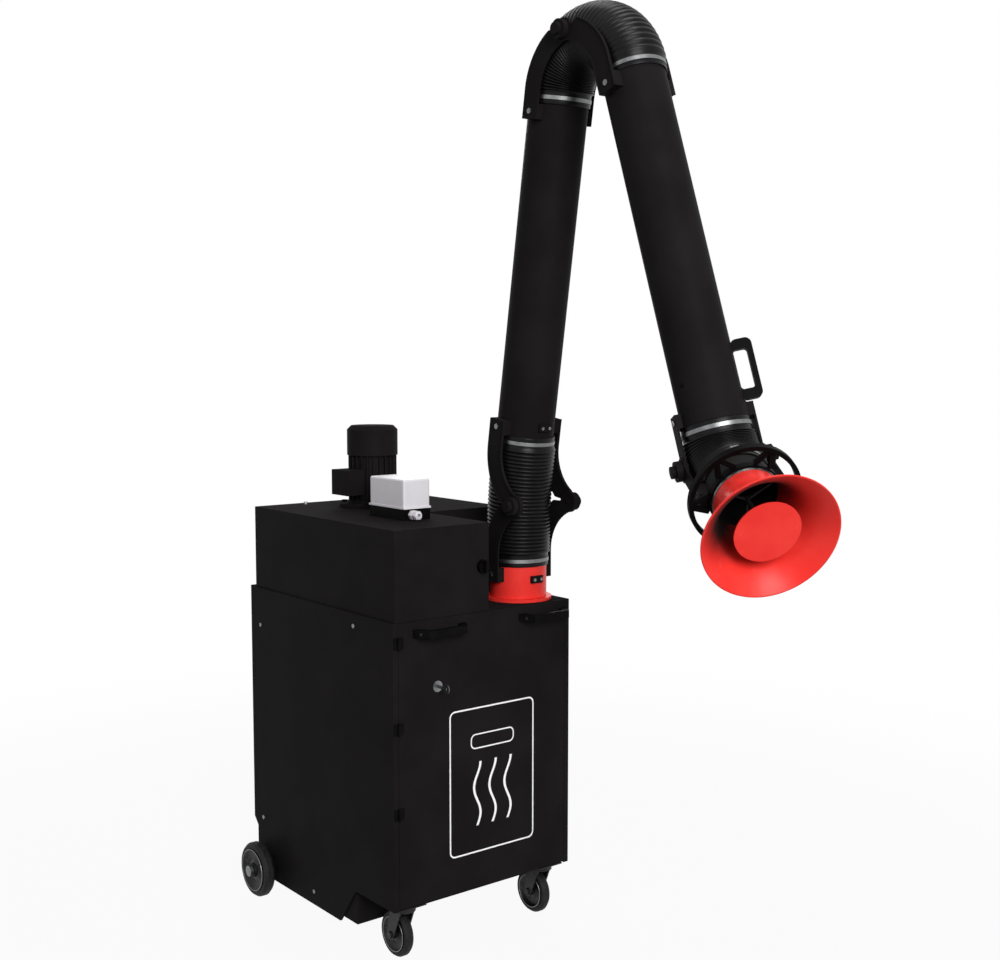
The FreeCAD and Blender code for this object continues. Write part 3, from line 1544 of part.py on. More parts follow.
def build_wheels():
    node("rear_stubs", rear_stubs())
    bore = D.rear_stub_radius + D.running_gap
    for name, side in (("left_rear_wheel", -1), ("right_rear_wheel", 1)):
        x = side * (float(half_width) + float(D.rear_wheel_out))
        place = place_at((x, rear_y, D.rear_wheel_radius), SIDEWAYS)
        node(name, wheel(D.rear_wheel_radius, D.rear_wheel_width, bore, D.wall * 9), place)
    small_bore = D.caster_pin_radius + D.running_gap
    mounts = []
    for name, side in (("left", -1), ("right", 1)):
        x = side * (half_width - D.caster_from_side)
        mounts.append(caster_mount(x))
        node(f"{name}_caster_fork", caster_fork(x))
        place = place_at((x, caster_y + D.caster_trail, D.caster_wheel_radius), SIDEWAYS)
        node(f"{name}_caster_wheel",
             wheel(D.caster_wheel_radius, D.caster_wheel_width, small_bore, D.wall * 7), place)
    node("caster_mounts", group(*mounts))


def check_and_write():
    """Check every object, place each sub-part and write its STEP file."""
    doc.recompute()
    for item in doc.Objects:
        if "Invalid" in item.State or "Error" in item.State:
            raise RuntimeError(f"{item.Label}: {item.State}")
    os.makedirs("parts", exist_ok=True)
    for item, frame in nodes:
        shape = item.Shape.copy()
        if shape.isNull() or not shape.isValid() or not shape.Solids:
            raise RuntimeError(f"{item.Label} has no valid solid")
        if frame is not None:
            shape.Placement = frame.multiply(shape.Placement)
        shape.exportStep(f"parts/{item.Label}.step")


build_cabinet()
build_door()
build_fan()
build_arm()
build_hood()
build_wheels()
check_and_write()
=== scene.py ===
import json
import math

import bpy
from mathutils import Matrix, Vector


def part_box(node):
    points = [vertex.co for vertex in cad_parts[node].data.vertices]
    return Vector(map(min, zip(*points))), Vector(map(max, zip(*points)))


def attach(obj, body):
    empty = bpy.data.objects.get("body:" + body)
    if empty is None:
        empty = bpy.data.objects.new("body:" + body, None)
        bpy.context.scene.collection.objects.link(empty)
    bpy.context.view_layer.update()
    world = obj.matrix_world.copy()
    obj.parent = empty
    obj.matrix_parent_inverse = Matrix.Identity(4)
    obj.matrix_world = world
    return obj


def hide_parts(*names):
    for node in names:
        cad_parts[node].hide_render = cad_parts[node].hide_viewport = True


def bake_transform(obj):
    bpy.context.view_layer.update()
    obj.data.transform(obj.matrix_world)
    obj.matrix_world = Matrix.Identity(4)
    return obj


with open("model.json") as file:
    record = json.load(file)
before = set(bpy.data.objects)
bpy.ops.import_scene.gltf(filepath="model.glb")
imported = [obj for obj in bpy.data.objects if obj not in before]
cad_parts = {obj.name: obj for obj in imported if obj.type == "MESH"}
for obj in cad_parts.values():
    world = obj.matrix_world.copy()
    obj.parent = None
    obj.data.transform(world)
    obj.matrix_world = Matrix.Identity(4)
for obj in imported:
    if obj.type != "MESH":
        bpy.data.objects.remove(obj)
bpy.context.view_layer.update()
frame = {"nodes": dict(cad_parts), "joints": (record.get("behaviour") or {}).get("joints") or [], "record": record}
nodes = frame["nodes"]
joints = {joint["name"]: joint for joint in frame["joints"]}

SIDES = (("left", -1), ("right", 1))

# Arm, at the photo's pose
LOWER_LEAN = math.radians(9)
OUTER_LEAN = math.radians(18.6)
WRIST_TILT = math.radians(47.5)
HINGE_OFFSET = 0.105
HINGE_HALF = 0.145
WRIST_HALF = 0.062
TUBE_RADIUS = 0.080
FORK_OUTSIDE = 0.0975
RIVET_BACK = 0.195
FORK_BOLT_BACK = 0.115

# Hoses, in metres; a rib is given as shares of its pitch
HOSE_SKIN = 0.0843
HOSE_CREST = 0.0902
HOSE_SHOULDER = HOSE_CREST - 0.0008
HOSE_CUFF = 0.034
HOSE_WALL = 0.0025
CUFF_EDGE = 0.004
RIB = ((0.06, HOSE_SKIN), (0.24, HOSE_SHOULDER), (0.5, HOSE_CREST), (0.76, HOSE_SHOULDER))
SHOULDER_RIBS = 28
ELBOW_RIBS = 34
WRIST_RIBS = 11

# Hood, measured along its line from the wrist's pivot
NECK_END = 0.155
NECK_RADIUS = 0.080
HOOD_LENGTH = 0.165
HOOD_RADIUS = 0.160
RIM_ROLL = 0.0022
RIM_STEPS = 10
BAND_START = NECK_END + 0.002
BAND_STOP = NECK_END + 0.010
BAND_INSIDE = 0.0806
BAND_EDGE = 0.0818
BAND_CROWN = 0.0822
BAND_ROUND = 0.001
# Side of the hood towards which the painted shade in its throat reaches further out
SHADED_SIDE = Vector((-0.55, 0.43, 0.71))

# Door and housing
DOOR_FRONT = -0.386
FILM = 0.0004
WAVE_BENDS = 2.5
LEFT_HANDLE = -0.152
RIGHT_HANDLE = 0.202
HANDLE_LEVEL = 0.890
SHOULDER_OUT = 0.074
SHOULDER_FORWARD = 0.021
SHOULDER_FACE = (0.868, -0.496)
SCREW_OUT = 0.146
SCREW_INSET = 0.043

# Wheels
DISH_SHEET = 0.0012
LIP_WIDTH = 0.0022

# Sections of the solid trim: height above the seat and radius
RIVET = [(-0.001, 0.0055), (0.001, 0.0055), (0.0024, 0.0046), (0.0032, 0.0028), (0.0034, 0.0010)]
FORK_BOLT = [(0, 0.0065), (0.0034, 0.0065), (0.0042, 0.0056), (0.0042, 0.0030), (0.0026, 0.0026)]
HANDLE_BOLT = [(-0.001, 0.0042), (0.0024, 0.0042), (0.0032, 0.0034), (0.0032, 0.0020), (0.0014, 0.0018)]
HOUSING_SCREW = [(0, 0.0062), (0.0070, 0.0062), (0.0080, 0.0052), (0.0080, 0.0030), (0.0050, 0.0028)]

# Lamps: name, place, aim, size in metres, power in watts
LAMPS = (
    ("key_lamp", (-3.2, -9.5, 4.8), (0, -0.5, 1.2), 4.8, 1000),
    ("fill_lamp", (-4.6, -1.6, 2.6), (0, -0.2, 1.0), 2.6, 14),
    ("top_lamp", (0.4, -1.2, 5.6), (0, -0.6, 1.0), 1.4, 70),
    ("back_lamp", (2.4, 3.6, 4.0), (0, 0, 1.2), 2.4, 130),
)
WHITE = (1, 1, 1, 1)
FLOOR_GREY = (0.3, 0.3, 0.3, 1)
SKY_LIGHT = 0.24

# Camera of the photo, its angles in degrees
CAMERA_PLACE = (-2.1936, -3.2207, 1.5985)
CAMERA_DOWN = 5.12
CAMERA_TURN = -38.37
CAMERA_SENSOR = 36
CAMERA_LENS = 48.45


# Arm lines
def wrist_lines():
    """Wrist pivot, the way along the outer tube and the side that the hood bends to."""
    pivot = Vector(joints["hood_tilt"]["pos_m"])
    heading = -Vector(joints["wrist_swivel"]["axis"]).normalized()
    toward = heading.cross(Vector(joints["hood_tilt"]["axis"]).normalized())
    return pivot, heading, toward


def hood_line():
    """Wrist pivot and the way out through the hood's mouth."""
    pivot, heading, toward = wrist_lines()
    return pivot, heading * math.cos(WRIST_TILT) + toward * math.sin(WRIST_TILT)


# Shader sums
class Wire:
    """A node's output that takes part in sums: each operator adds its Math node."""

    def __init__(self, home, socket):
        self.home = home
        self.socket = socket

    def sum(self, operation, *values):
        return self.home.add("Math", {"operation": operation}, dict(enumerate(values)))

    def __add__(self, other):
        return self.sum("ADD", self, other)

    def __sub__(self, other):
        return self.sum("SUBTRACT", self, other)

    def __rsub__(self, other):
        return self.sum("SUBTRACT", other, self)

    def __mul__(self, other):
        return self.sum("MULTIPLY", self, other)

    __radd__ = __add__
    __rmul__ = __mul__

    def most(self, other):
        return self.sum("MAXIMUM", self, other)

    def above(self, edge, soft):
        """0 below edge, 1 above edge + soft, smooth between."""
        return self.home.add(
            "MapRange",
            {"interpolation_type": "SMOOTHSTEP"},
            {"Value": self, "From Min": edge, "From Max": edge + soft},
        )


class Tree:
    """A node tree and the nodes added to it."""

    def __init__(self, tree):
        self.tree = tree

    def add(self, kind, settings=None, inputs=None, out=0):
        item = self.tree.nodes.new("ShaderNode" + kind)
        for name, value in (settings or {}).items():
            setattr(item, name, value)
        for name, value in (inputs or {}).items():
            self.feed(item.inputs[name], value)
        return Wire(self, item.outputs[out])

    def feed(self, socket, value):
        """Link a wire to a socket, or set the socket's plain value."""
        if isinstance(value, Wire):
            self.tree.links.new(value.socket, socket)
        else:
            socket.default_value = value

    def seen_directly(self):
        """1 for rays that show the background itself, 0 for rays that light the object."""
        camera_ray = self.add("LightPath", out="Is Camera Ray")
        glossy_ray = self.add("LightPath", out="Is Glossy Ray")
        through_ray = self.add("LightPath", out="Is Transmission Ray")
        return camera_ray.most(glossy_ray.most(through_ray))


class Paint(Tree):
    """A material and the nodes that make it."""

    def __init__(self, name):
        self.material = bpy.data.materials.new(name)
        self.material.use_nodes = True
        super().__init__(self.material.node_tree)
        self.shader = self.tree.nodes["Principled BSDF"]
        self.place = self.add("TexCoord", out="Object")

    def noise(self, scale, detail, stretch=None):
        place = self.place
        if stretch:
            place = self.add("Mapping", None, {"Vector": place, "Scale": stretch})
        inputs = {"Vector": place, "Scale": scale, "Detail": detail}
        return self.add("TexNoise", None, inputs)

    def cells(self, scale, out="Distance"):
        return self.add("TexVoronoi", None, {"Vector": self.place, "Scale": scale}, out)

    def mix(self, share, first, second):
        return self.add("Mix", {"data_type": "RGBA"}, {0: share, 6: first, 7: second}, 2)

    def vectors(self, operation, *values, out="Vector"):
        return self.add("VectorMath", {"operation": operation}, dict(enumerate(values)), out)

    def height_up(self):
        """How far the surface faces up, 0 to 1, in the piece's own frame."""
        normal = self.add("TexCoord", out="Normal")
        return self.add("SeparateXYZ", None, {0: normal}, "Z").above(0.3, 0.6)

    def finish(self, color, rough, metal=0.0, bump=None, depth=0.0001, edge=0.0, **plain):
        """Feed the shader: bump is a height of the given depth, edge rounds sharp edges."""
        inputs = self.shader.inputs
        self.feed(inputs["Base Color"], color)
        self.feed(inputs["Roughness"], rough)
        self.feed(inputs["Metallic"], metal)
        normal = None
        if edge:
            normal = self.add("Bevel", {"samples": 4}, {"Radius": edge})
        if bump is not None:
            relief = {"Height": bump, "Distance": depth, "Strength": 1.0}
            if normal is not None:
                relief["Normal"] = normal
            normal = self.add("Bump", None, relief)
        if normal is not None:
            self.feed(inputs["Normal"], normal)
        for name, value in plain.items():
            inputs[name.replace("_", " ")].default_value = value
        return self.material


def tone(red, green, blue):
    """A screen colour, 0 to 255, as the shader's own colour."""
    def part(value):
        value = value / 255
        return value / 12.92 if value < 0.04045 else ((value + 0.055) / 1.055) ** 2.4

    return part(red), part(green), part(blue), 1.0


# Finishes
def black_powder_coat():
    """Fine orange-peel powder coat with faint clouding, dull and a little dusty on level faces."""
    paint = Paint("black_powder_coat")
    peel = paint.noise(900, 3)
    cloud = paint.noise(7, 4)
    level = paint.height_up()
    dust = level * paint.noise(38, 5).above(0.4, 0.4)
    color = paint.mix(cloud.above(0.3, 0.4), tone(24, 22, 23), tone(29, 27, 28))
    color = paint.mix(dust * 0.2, color, tone(38, 37, 36))
    rough = 0.42 + cloud * 0.1 + level * 0.48
    return paint.finish(color, rough, bump=peel, depth=0.00012, edge=0.0012, Specular_IOR_Level=0.012)


def moulded_plastic():
    """Spark-eroded black moulding plastic."""
    paint = Paint("moulded_plastic")
    grain = paint.cells(1500)
    worn = paint.noise(26, 5)
    color = paint.mix(worn.above(0.4, 0.3), tone(8, 7, 8), tone(13, 12, 13))
    rough = 0.36 + worn * 0.2
    return paint.finish(color, rough, bump=grain, depth=0.0001, edge=0.0010, Specular_IOR_Level=0.03)


def signal_red_coat():
    """Orange-red powder coat, chalky where it is handled, with painted shade in the hood's throat and a black neck
    end.
    """
    paint = Paint("signal_red_coat")
    peel = paint.noise(1000, 3)
    cloud = paint.noise(11, 4)
    scuff = paint.noise(60, 6, stretch=(1, 1, 0.15)).above(0.66, 0.1)
    color = paint.mix(cloud.above(0.3, 0.4), tone(232, 48, 42), tone(239, 58, 51))
    color = paint.mix(scuff * 0.2, color, tone(250, 112, 96))
    # Painted shade darkens the red inside the hood's throat; the neck end is painted black
    darkening = hood_black(paint)
    color = paint.mix(darkening, color, tone(14, 12, 12))
    rough = 0.28 + cloud * 0.12 + darkening * 0.4
    return paint.finish(color, rough, bump=peel, depth=0.00008, edge=0.0010, Specular_IOR_Level=0.17)


def hood_place(paint):
    """How far along the hood's line and how far out from it a point lies, and the way out."""
    pivot, hood_way = hood_line()
    from_pivot = paint.vectors("SUBTRACT", paint.place, pivot)
    depth = paint.vectors("DOT_PRODUCT", from_pivot, hood_way, out="Value")
    along = paint.add("VectorMath", {"operation": "SCALE"}, {0: hood_way, "Scale": depth})
    outward = paint.vectors("SUBTRACT", from_pivot, along)
    reach = paint.vectors("LENGTH", outward, out="Value")
    return depth, reach, outward


def hood_black(paint):
    """1 where the hood isn't red: painted shade in its throat, reaching further out on the upper side, and its
    neck end painted black all round.
    """
    depth, reach, outward = hood_place(paint)
    facing = paint.add("TexCoord", out="Normal")
    side = paint.vectors("DOT_PRODUCT", facing, outward, out="Value")
    inside = 1 - side.above(-0.002, 0.001)
    # Painted shade: the throat's inner wall is darkened, further out on the upper side, with a ragged edge
    ragged_edge = paint.noise(34, 5) * 0.01
    rise = paint.vectors("DOT_PRODUCT", outward, SHADED_SIDE, out="Value")
    throat = inside * (1 - (reach + ragged_edge - rise * 0.42).above(0.082, 0.05))
    on_hood = 1 - reach.above(0.3, 0.01)
    neck = 1 - depth.above(NECK_END - 0.002, 0.0005)
    return throat.most(neck) * on_hood


def bright_steel():
    """Stainless bands and zinc bolts with fine rolling lines, darkened by painted shade inside the hood's neck."""
    paint = Paint("bright_steel")
    lines = paint.noise(220, 3, stretch=(1, 1, 14))
    stain = paint.noise(48, 5)
    depth, reach = hood_place(paint)[:2]
    # Painted shade: steel inside the hood's neck is darkened and made less metallic
    darkening = depth.above(NECK_END - 0.01, 0.001) * (1 - reach.above(NECK_RADIUS - 0.001, 0.0005))
    color = paint.mix(stain, tone(78, 80, 83), tone(146, 147, 147))
    color = paint.mix(darkening, color, tone(16, 15, 15))
    rough = 0.26 + lines * 0.16 + stain * 0.1 + darkening * 0.3
    return paint.finish(color, rough, metal=1 - darkening * 0.8, bump=lines, depth=0.00004, edge=0.0005)


def zinc_sheet():
    """Galvanised sheet with its spangle."""
    paint = Paint("zinc_sheet")
    spangle = paint.cells(75, out="Color")
    share = paint.add("SeparateColor", None, {0: spangle})
    color = paint.mix(share, tone(96, 98, 101), tone(128, 130, 132))
    rough = 0.34 + share * 0.2
    return paint.finish(color, rough, metal=0.9, bump=paint.noise(500, 2), depth=0.00004, edge=0.0008)


def caster_metal():
    """Pressed steel of the wheels and their forks, with bare scuffs; its dark tone is painted reflection of dark,
    shaded surroundings.
    """
    paint = Paint("caster_metal")
    scuffs = paint.noise(90, 6)
    # Both tones are dark as painted reflection of shaded surroundings; the lighter patches are bare scuffs
    color = paint.mix(scuffs.above(0.5, 0.25), tone(30, 30, 32), tone(58, 58, 60))
    rough = 0.3 + scuffs * 0.25
    return paint.finish(color, rough, metal=0.7, bump=scuffs, depth=0.0001, edge=0.0010)


def hose_rubber():
    """Coated hose fabric: a fine cloth weave under a dull black skin."""
    paint = Paint("hose_rubber")
    weave = paint.cells(620)
    cloud = paint.noise(30, 5)
    dust = paint.height_up() * cloud
    color = paint.mix(cloud.above(0.35, 0.4), tone(10, 10, 11), tone(16, 15, 16))
    color = paint.mix(dust * 0.06, color, tone(40, 39, 38))
    rough = 0.26 + cloud * 0.14
    return paint.finish(color, rough, bump=weave, depth=0.0001, Specular_IOR_Level=0.12)


def seal_rubber():
    """Foamed door seal."""
    paint = Paint("seal_rubber")
    pores = paint.cells(900)
    color = paint.mix(pores, tone(14, 14, 15), tone(28, 28, 28))
    return paint.finish(color, 0.8, bump=pores, depth=0.0003, Specular_IOR_Level=0.2)


def tyre_rubber():
    """Black tyre, greyed by the floor where it runs."""
    paint = Paint("tyre_rubber")
    grit = paint.noise(420, 5)
    scuffs = paint.noise(45, 5)
    color = paint.mix(scuffs.above(0.45, 0.3), tone(14, 14, 15), tone(30, 29, 29))
    rough = 0.5 + scuffs * 0.25
    return paint.finish(color, rough, bump=grit, depth=0.0003, edge=0.0012, Specular_IOR_Level=0.2)


def light_grey_plastic():
    """Pale grey box cover with a fine moulded grain."""
    paint = Paint("light_grey_plastic")
    grain = paint.cells(1300)
    cloud = paint.noise(20, 4)
    color = paint.mix(cloud, tone(204, 201, 206), tone(218, 215, 220))
    rough = 0.36 + cloud * 0.16
    return paint.finish(color, rough, bump=grain, depth=0.00008, edge=0.0015, Specular_IOR_Level=0.45)


def filter_paper():
    """Cream filter paper with loose fibres and grey dust."""
    paint = Paint("filter_paper")
    fibres = paint.noise(700, 6, stretch=(1, 1, 0.2))
    darkening = paint.noise(14, 4)
    color = paint.mix(darkening.above(0.4, 0.4), tone(222, 214, 194), tone(168, 160, 148))
    return paint.finish(color, 0.9, bump=fibres, depth=0.0003, Specular_IOR_Level=0.2)


def fan_alloy():
    """Cast alloy with a sand texture."""
    paint = Paint("fan_alloy")
    sand = paint.noise(650, 5)
    stain = paint.noise(18, 4)
    color = paint.mix(stain, tone(128, 130, 132), tone(168, 169, 170))
    rough = 0.45 + stain * 0.15
    return paint.finish(color, rough, metal=0.9, bump=sand, depth=0.0002, edge=0.0010)


def white_film():
    """Cut vinyl film, faintly rough and a little soiled."""
    paint = Paint("white_film")
    soil = paint.noise(60, 5)
    color = paint.mix(soil.above(0.55, 0.3), tone(244, 244, 244), tone(226, 225, 222))
    rough = 0.3 + soil * 0.2
    return paint.finish(color, rough, bump=paint.noise(500, 2), depth=0.00004, Specular_IOR_Level=0.4)


finishes = {
    "black_coat": black_powder_coat(),
    "black_plastic": moulded_plastic(),
    "red_coat": signal_red_coat(),
    "steel": bright_steel(),
    "galvanised": zinc_sheet(),
    "hose_rubber": hose_rubber(),
    "seal_rubber": seal_rubber(),
    "tyre_rubber": tyre_rubber(),
    "light_grey": light_grey_plastic(),
    "filter_paper": filter_paper(),
    "fan_metal": fan_alloy(),
}
film = white_film()
wheel_metal = caster_metal()


def dress_nodes():
    """Give every CAD node the finish of its material slot; the casters get a darker copy of the metal, its dark
    tone a painted reflection of shaded surroundings.
    """
    slots = {}
    for part in frame["record"]["subparts"]:
        slots[part["node"]] = part["material_slot"]
    for name, node in nodes.items():
        finish = finishes[slots[name]]
        if "caster" in name and slots[name] == "galvanised":
            finish = wheel_metal
        node.data.materials.clear()
        node.data.materials.append(finish)


# Modelling
def clear_selection():
    if bpy.context.object and bpy.context.object.mode == "EDIT":
        bpy.ops.object.mode_set(mode="OBJECT")
    bpy.ops.object.select_all(action="DESELECT")


def pick(piece):
    """Make the piece the only one selected."""
    clear_selection()
    piece.select_set(True)
    bpy.context.view_layer.objects.active = piece


def edit(piece):
    """Open the piece in edit mode."""
    pick(piece)
    bpy.ops.object.mode_set(mode="EDIT")


def named(name, finish):
    """Name the piece just added and give it its finish."""
    piece = bpy.context.object
    piece.name = name
    piece.data.name = name
    piece.data.materials.append(finish)
    return piece


def settle(piece):
    """Put the piece's place into its mesh."""
    pick(piece)
    bpy.ops.object.transform_apply(location=True, rotation=True, scale=True)


def apply_modifier(piece, kind, **settings):
    pick(piece)
    modifier = piece.modifiers.new(kind.title(), kind)
    for name, value in settings.items():
        setattr(modifier, name, value)
    bpy.ops.object.modifier_apply(modifier=modifier.name)


def smooth(piece, degrees):
    """Shade smooth across edges below the angle."""
    pick(piece)
    bpy.ops.object.shade_smooth_by_angle(angle=math.radians(degrees))


def carry_ring(first, rings):
    """Carry the selected ring up the Z axis through each height and radius."""
    level, radius = first
    for next_level, next_radius in rings:
        rise = {"value": (0, 0, next_level - level)}
        bpy.ops.mesh.extrude_region_move(TRANSFORM_OT_translate=rise)
        grow = next_radius / radius
        bpy.ops.transform.resize(value=(grow, grow, 1), center_override=(0, 0, next_level))
        level, radius = next_level, next_radius


def turned_piece(name, slot, body, centre, way, rings, steps, solid=False):
    """Turned piece about an axis: a closed ring of the given section, or a solid button."""
    clear_selection()
    level, radius = rings[0]
    fill = "NGON" if solid else "NOTHING"
    bpy.ops.mesh.primitive_circle_add(vertices=steps, radius=radius, location=(0, 0, level), fill_type=fill)
    piece = named(name, finishes[slot])
    settle(piece)
    edit(piece)
    bpy.ops.mesh.select_all(action="SELECT")
    carry_ring(rings[0], rings[1:] if solid else rings[1:] + rings[:1])
    bpy.ops.mesh.select_all(action="SELECT")
    bpy.ops.mesh.remove_doubles(threshold=0.000001)
    bpy.ops.mesh.normals_make_consistent(inside=False)
    bpy.ops.object.mode_set(mode="OBJECT")
    piece.rotation_mode = "QUATERNION"
    piece.rotation_quaternion = way.to_track_quat("Z", "Y")
    piece.location = centre
    settle(piece)
    smooth(piece, 50)
    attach(piece, body)
    return piece


# Hoses
def straight_hose(name, ribs, length):
    """Ribbed hose up the Z axis from the origin, with a plain cuff below and above."""
    clear_selection()
    bpy.ops.mesh.primitive_circle_add(vertices=48, radius=HOSE_SKIN, location=(0, 0, -HOSE_CUFF))
    hose = named(name, finishes["hose_rubber"])
    settle(hose)
    edit(hose)
    bpy.ops.mesh.select_all(action="SELECT")
    pitch = length / ribs
    end = length + HOSE_CUFF
    rings = [(-HOSE_CUFF + CUFF_EDGE, HOSE_SKIN), (-CUFF_EDGE, HOSE_SKIN)]
    rings += [((i + share) * pitch, size) for i in range(ribs) for share, size in RIB]
    rings += [(level, HOSE_SKIN) for level in (length + CUFF_EDGE, end - CUFF_EDGE, end)]
    carry_ring((-HOSE_CUFF, HOSE_SKIN), rings)
    bpy.ops.mesh.select_all(action="SELECT")
    bpy.ops.mesh.normals_make_consistent(inside=False)
    bpy.ops.object.mode_set(mode="OBJECT")
    apply_modifier(hose, "SOLIDIFY", thickness=HOSE_WALL, offset=-1)
    apply_modifier(hose, "SUBSURF", levels=1, render_levels=1)
    return hose


def fit_hose(name, ribs, start, heading, toward, angle, bend_radius):
    """Lay a hose straight, share its joint's turn along it, and bend it into its place.

    The corners are first spread so that the later smooth turn spaces the ribs evenly.
    """
    length = bend_radius * angle
    hose = straight_hose(name + "_ribs", ribs, length)
    for corner in hose.data.vertices:
        share = corner.co.z / length
        if 0 < share < 1:
            corner.co.z = length * (0.5 - math.sin(math.asin(1 - 2 * share) / 3))
    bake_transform(hose)
    across = heading.cross(toward)
    bend_centre = start + toward * bend_radius
    for corner in hose.data.vertices:
        x, y, z = corner.co
        share = min(max(z / length, 0), 1)
        past = z - share * length
        turn = angle * share * share * (3 - 2 * share)
        outward = heading * math.sin(turn) - toward * math.cos(turn)
        along = heading * math.cos(turn) + toward * math.sin(turn)
        corner.co = bend_centre + outward * (bend_radius + y) + across * x + along * past
    hose.data.update()
    smooth(hose, 60)
    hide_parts(name)


def hinge_bend_radius(angle):
    """Bend of a hose whose middle passes its hinge's pivot."""
    return HINGE_OFFSET + HINGE_HALF / math.tan(angle / 2)


def hoses():
    shoulder = Vector(joints["shoulder"]["pos_m"])
    start = shoulder + Vector((0, HINGE_OFFSET, -HINGE_HALF))
    fit_hose("shoulder_hose", SHOULDER_RIBS, start, Vector((0, 0, 1)), Vector((0, -1, 0)),
             LOWER_LEAN, hinge_bend_radius(LOWER_LEAN))

    heading = Vector((0, -math.sin(LOWER_LEAN), math.cos(LOWER_LEAN)))
    toward = Vector((0, -math.cos(LOWER_LEAN), -math.sin(LOWER_LEAN)))
    elbow = Vector(joints["elbow"]["pos_m"])
    start = elbow - toward * HINGE_OFFSET - heading * HINGE_HALF
    fold = math.pi - LOWER_LEAN - OUTER_LEAN
    fit_hose("elbow_hose", ELBOW_RIBS, start, heading, toward,
             fold, hinge_bend_radius(fold))

    pivot, heading, toward = wrist_lines()
    fit_hose("wrist_hose", WRIST_RIBS, pivot - heading * WRIST_HALF, heading, toward,
             WRIST_TILT, WRIST_HALF / math.tan(WRIST_TILT / 2))


# Hood, arm, wheel and cabinet trim
def hood_trim():
    """Rolled rim of the hood's mouth and the band on its neck."""
    pivot, hood_way = hood_line()
    level = NECK_END + HOOD_LENGTH - RIM_ROLL
    radius = HOOD_RADIUS - RIM_ROLL
    bead = []
    for step in range(RIM_STEPS):
        turn = math.radians(360 / RIM_STEPS * step)
        bead.append((level + RIM_ROLL * math.sin(turn), radius + RIM_ROLL * math.cos(turn)))
    turned_piece("hood_rolled_rim", "red_coat", "hood", pivot, hood_way, bead, 96)
    band = [(BAND_START, BAND_INSIDE), (BAND_START, BAND_EDGE), (BAND_START + BAND_ROUND, BAND_CROWN)]
    band += [(BAND_STOP - BAND_ROUND, BAND_CROWN), (BAND_STOP, BAND_EDGE), (BAND_STOP, BAND_INSIDE)]
    turned_piece("hood_neck_band", "steel", "hood", pivot, hood_way, band, 72)


def arm_trim():
    """Rivets on the outer tube and bolts on the wrist's fork."""
    pivot, heading = wrist_lines()[:2]
    across = Vector((1, 0, 0))
    for name, side in SIDES:
        place = pivot - heading * RIVET_BACK + across * (side * TUBE_RADIUS)
        turned_piece(f"outer_tube_rivet_{name}", "black_plastic", "outer_arm",
                     place, across * side, RIVET, 24, solid=True)
    axle = Vector(joints["hood_tilt"]["axis"]).normalized()
    for name, side in SIDES:
        place = pivot - heading * FORK_BOLT_BACK + axle * (side * FORK_OUTSIDE)
        turned_piece(f"wrist_fork_bolt_{name}", "steel", "wrist",
                     place, axle * side, FORK_BOLT, 6, solid=True)


def wheel_dish(name, body, centre, side, hub, rim, face):
    """Pressed steel disc in the recess of a wheel's side, and the bright lip round it."""
    way = Vector((side, 0, 0))
    step = (rim - hub) / 5
    front = [
        (face * 0.66, hub),
        (face * 0.66, hub + step * 0.8),
        (face * 0.42, hub + step * 1.6),
        (face * 0.42, hub + step * 3.2),
        (face * 0.62, hub + step * 4.2),
        (face * 0.95, hub + step * 4.7),
        (face * 0.95, rim),
    ]
    rear = [(level - DISH_SHEET, radius) for level, radius in reversed(front)]
    dish = turned_piece(name, "galvanised", body, centre, way, front + rear, 64)
    # The dish takes the darker wheel steel, whose dark tone is painted reflection
    dish.data.materials[0] = wheel_metal
    lip = [
        (face * 0.9, rim - LIP_WIDTH),
        (face * 0.98, rim - LIP_WIDTH),
        (face, rim - 0.0015),
        (face, rim - 0.0005),
        (face * 0.97, rim),
        (face * 0.9, rim),
    ]
    turned_piece(name.replace("dish", "rim"), "steel", body, centre, way, lip, 64)


def middle(name):
    """Centre of a node's box."""
    low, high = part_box(name)
    return (Vector(low) + Vector(high)) / 2


def wheel_trim():
    """Dishes on the outer sides of the rear wheels and on both sides of the casters."""
    for name, side in SIDES:
        wheel_dish(f"{name}_rear_wheel_dish", f"{name}_rear_roller", middle(f"{name}_rear_wheel"),
                   side, hub=0.0212, rim=0.0615, face=0.020)
        centre = middle(f"{name}_caster_wheel")
        for face, way in (("outer", side), ("inner", -side)):
            wheel_dish(f"{name}_caster_dish_{face}", f"{name}_caster_roller", centre,
                       way, hub=0.0130, rim=0.0478, face=0.016)


def handle_bolts():
    """Socket bolts in the sloping shoulders of the two door handles."""
    out, forward = SHOULDER_FACE
    for name, x in (("left", LEFT_HANDLE), ("right", RIGHT_HANDLE)):
        for end, side in (("near", -1), ("far", 1)):
            place = Vector((x + side * SHOULDER_OUT, DOOR_FRONT - SHOULDER_FORWARD, HANDLE_LEVEL))
            bolt = turned_piece(f"{name}_handle_bolt_{end}", "steel", "door",
                                place, Vector((side * out, forward, 0)), HANDLE_BOLT, 24, solid=True)
            # The bolt takes the darker wheel steel, whose dark tone is painted reflection
            bolt.data.materials[0] = wheel_metal


def housing_screws():
    """Cap screws near the rear edge of the upper housing's top."""
    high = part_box("upper_housing")[1]
    for name, side in SIDES:
        place = Vector((side * SCREW_OUT, high[1] - SCREW_INSET, high[2]))
        turned_piece(f"housing_screw_{name}", "steel", "cabinet",
                     place, Vector((0, 0, 1)), HOUSING_SCREW, 24, solid=True)


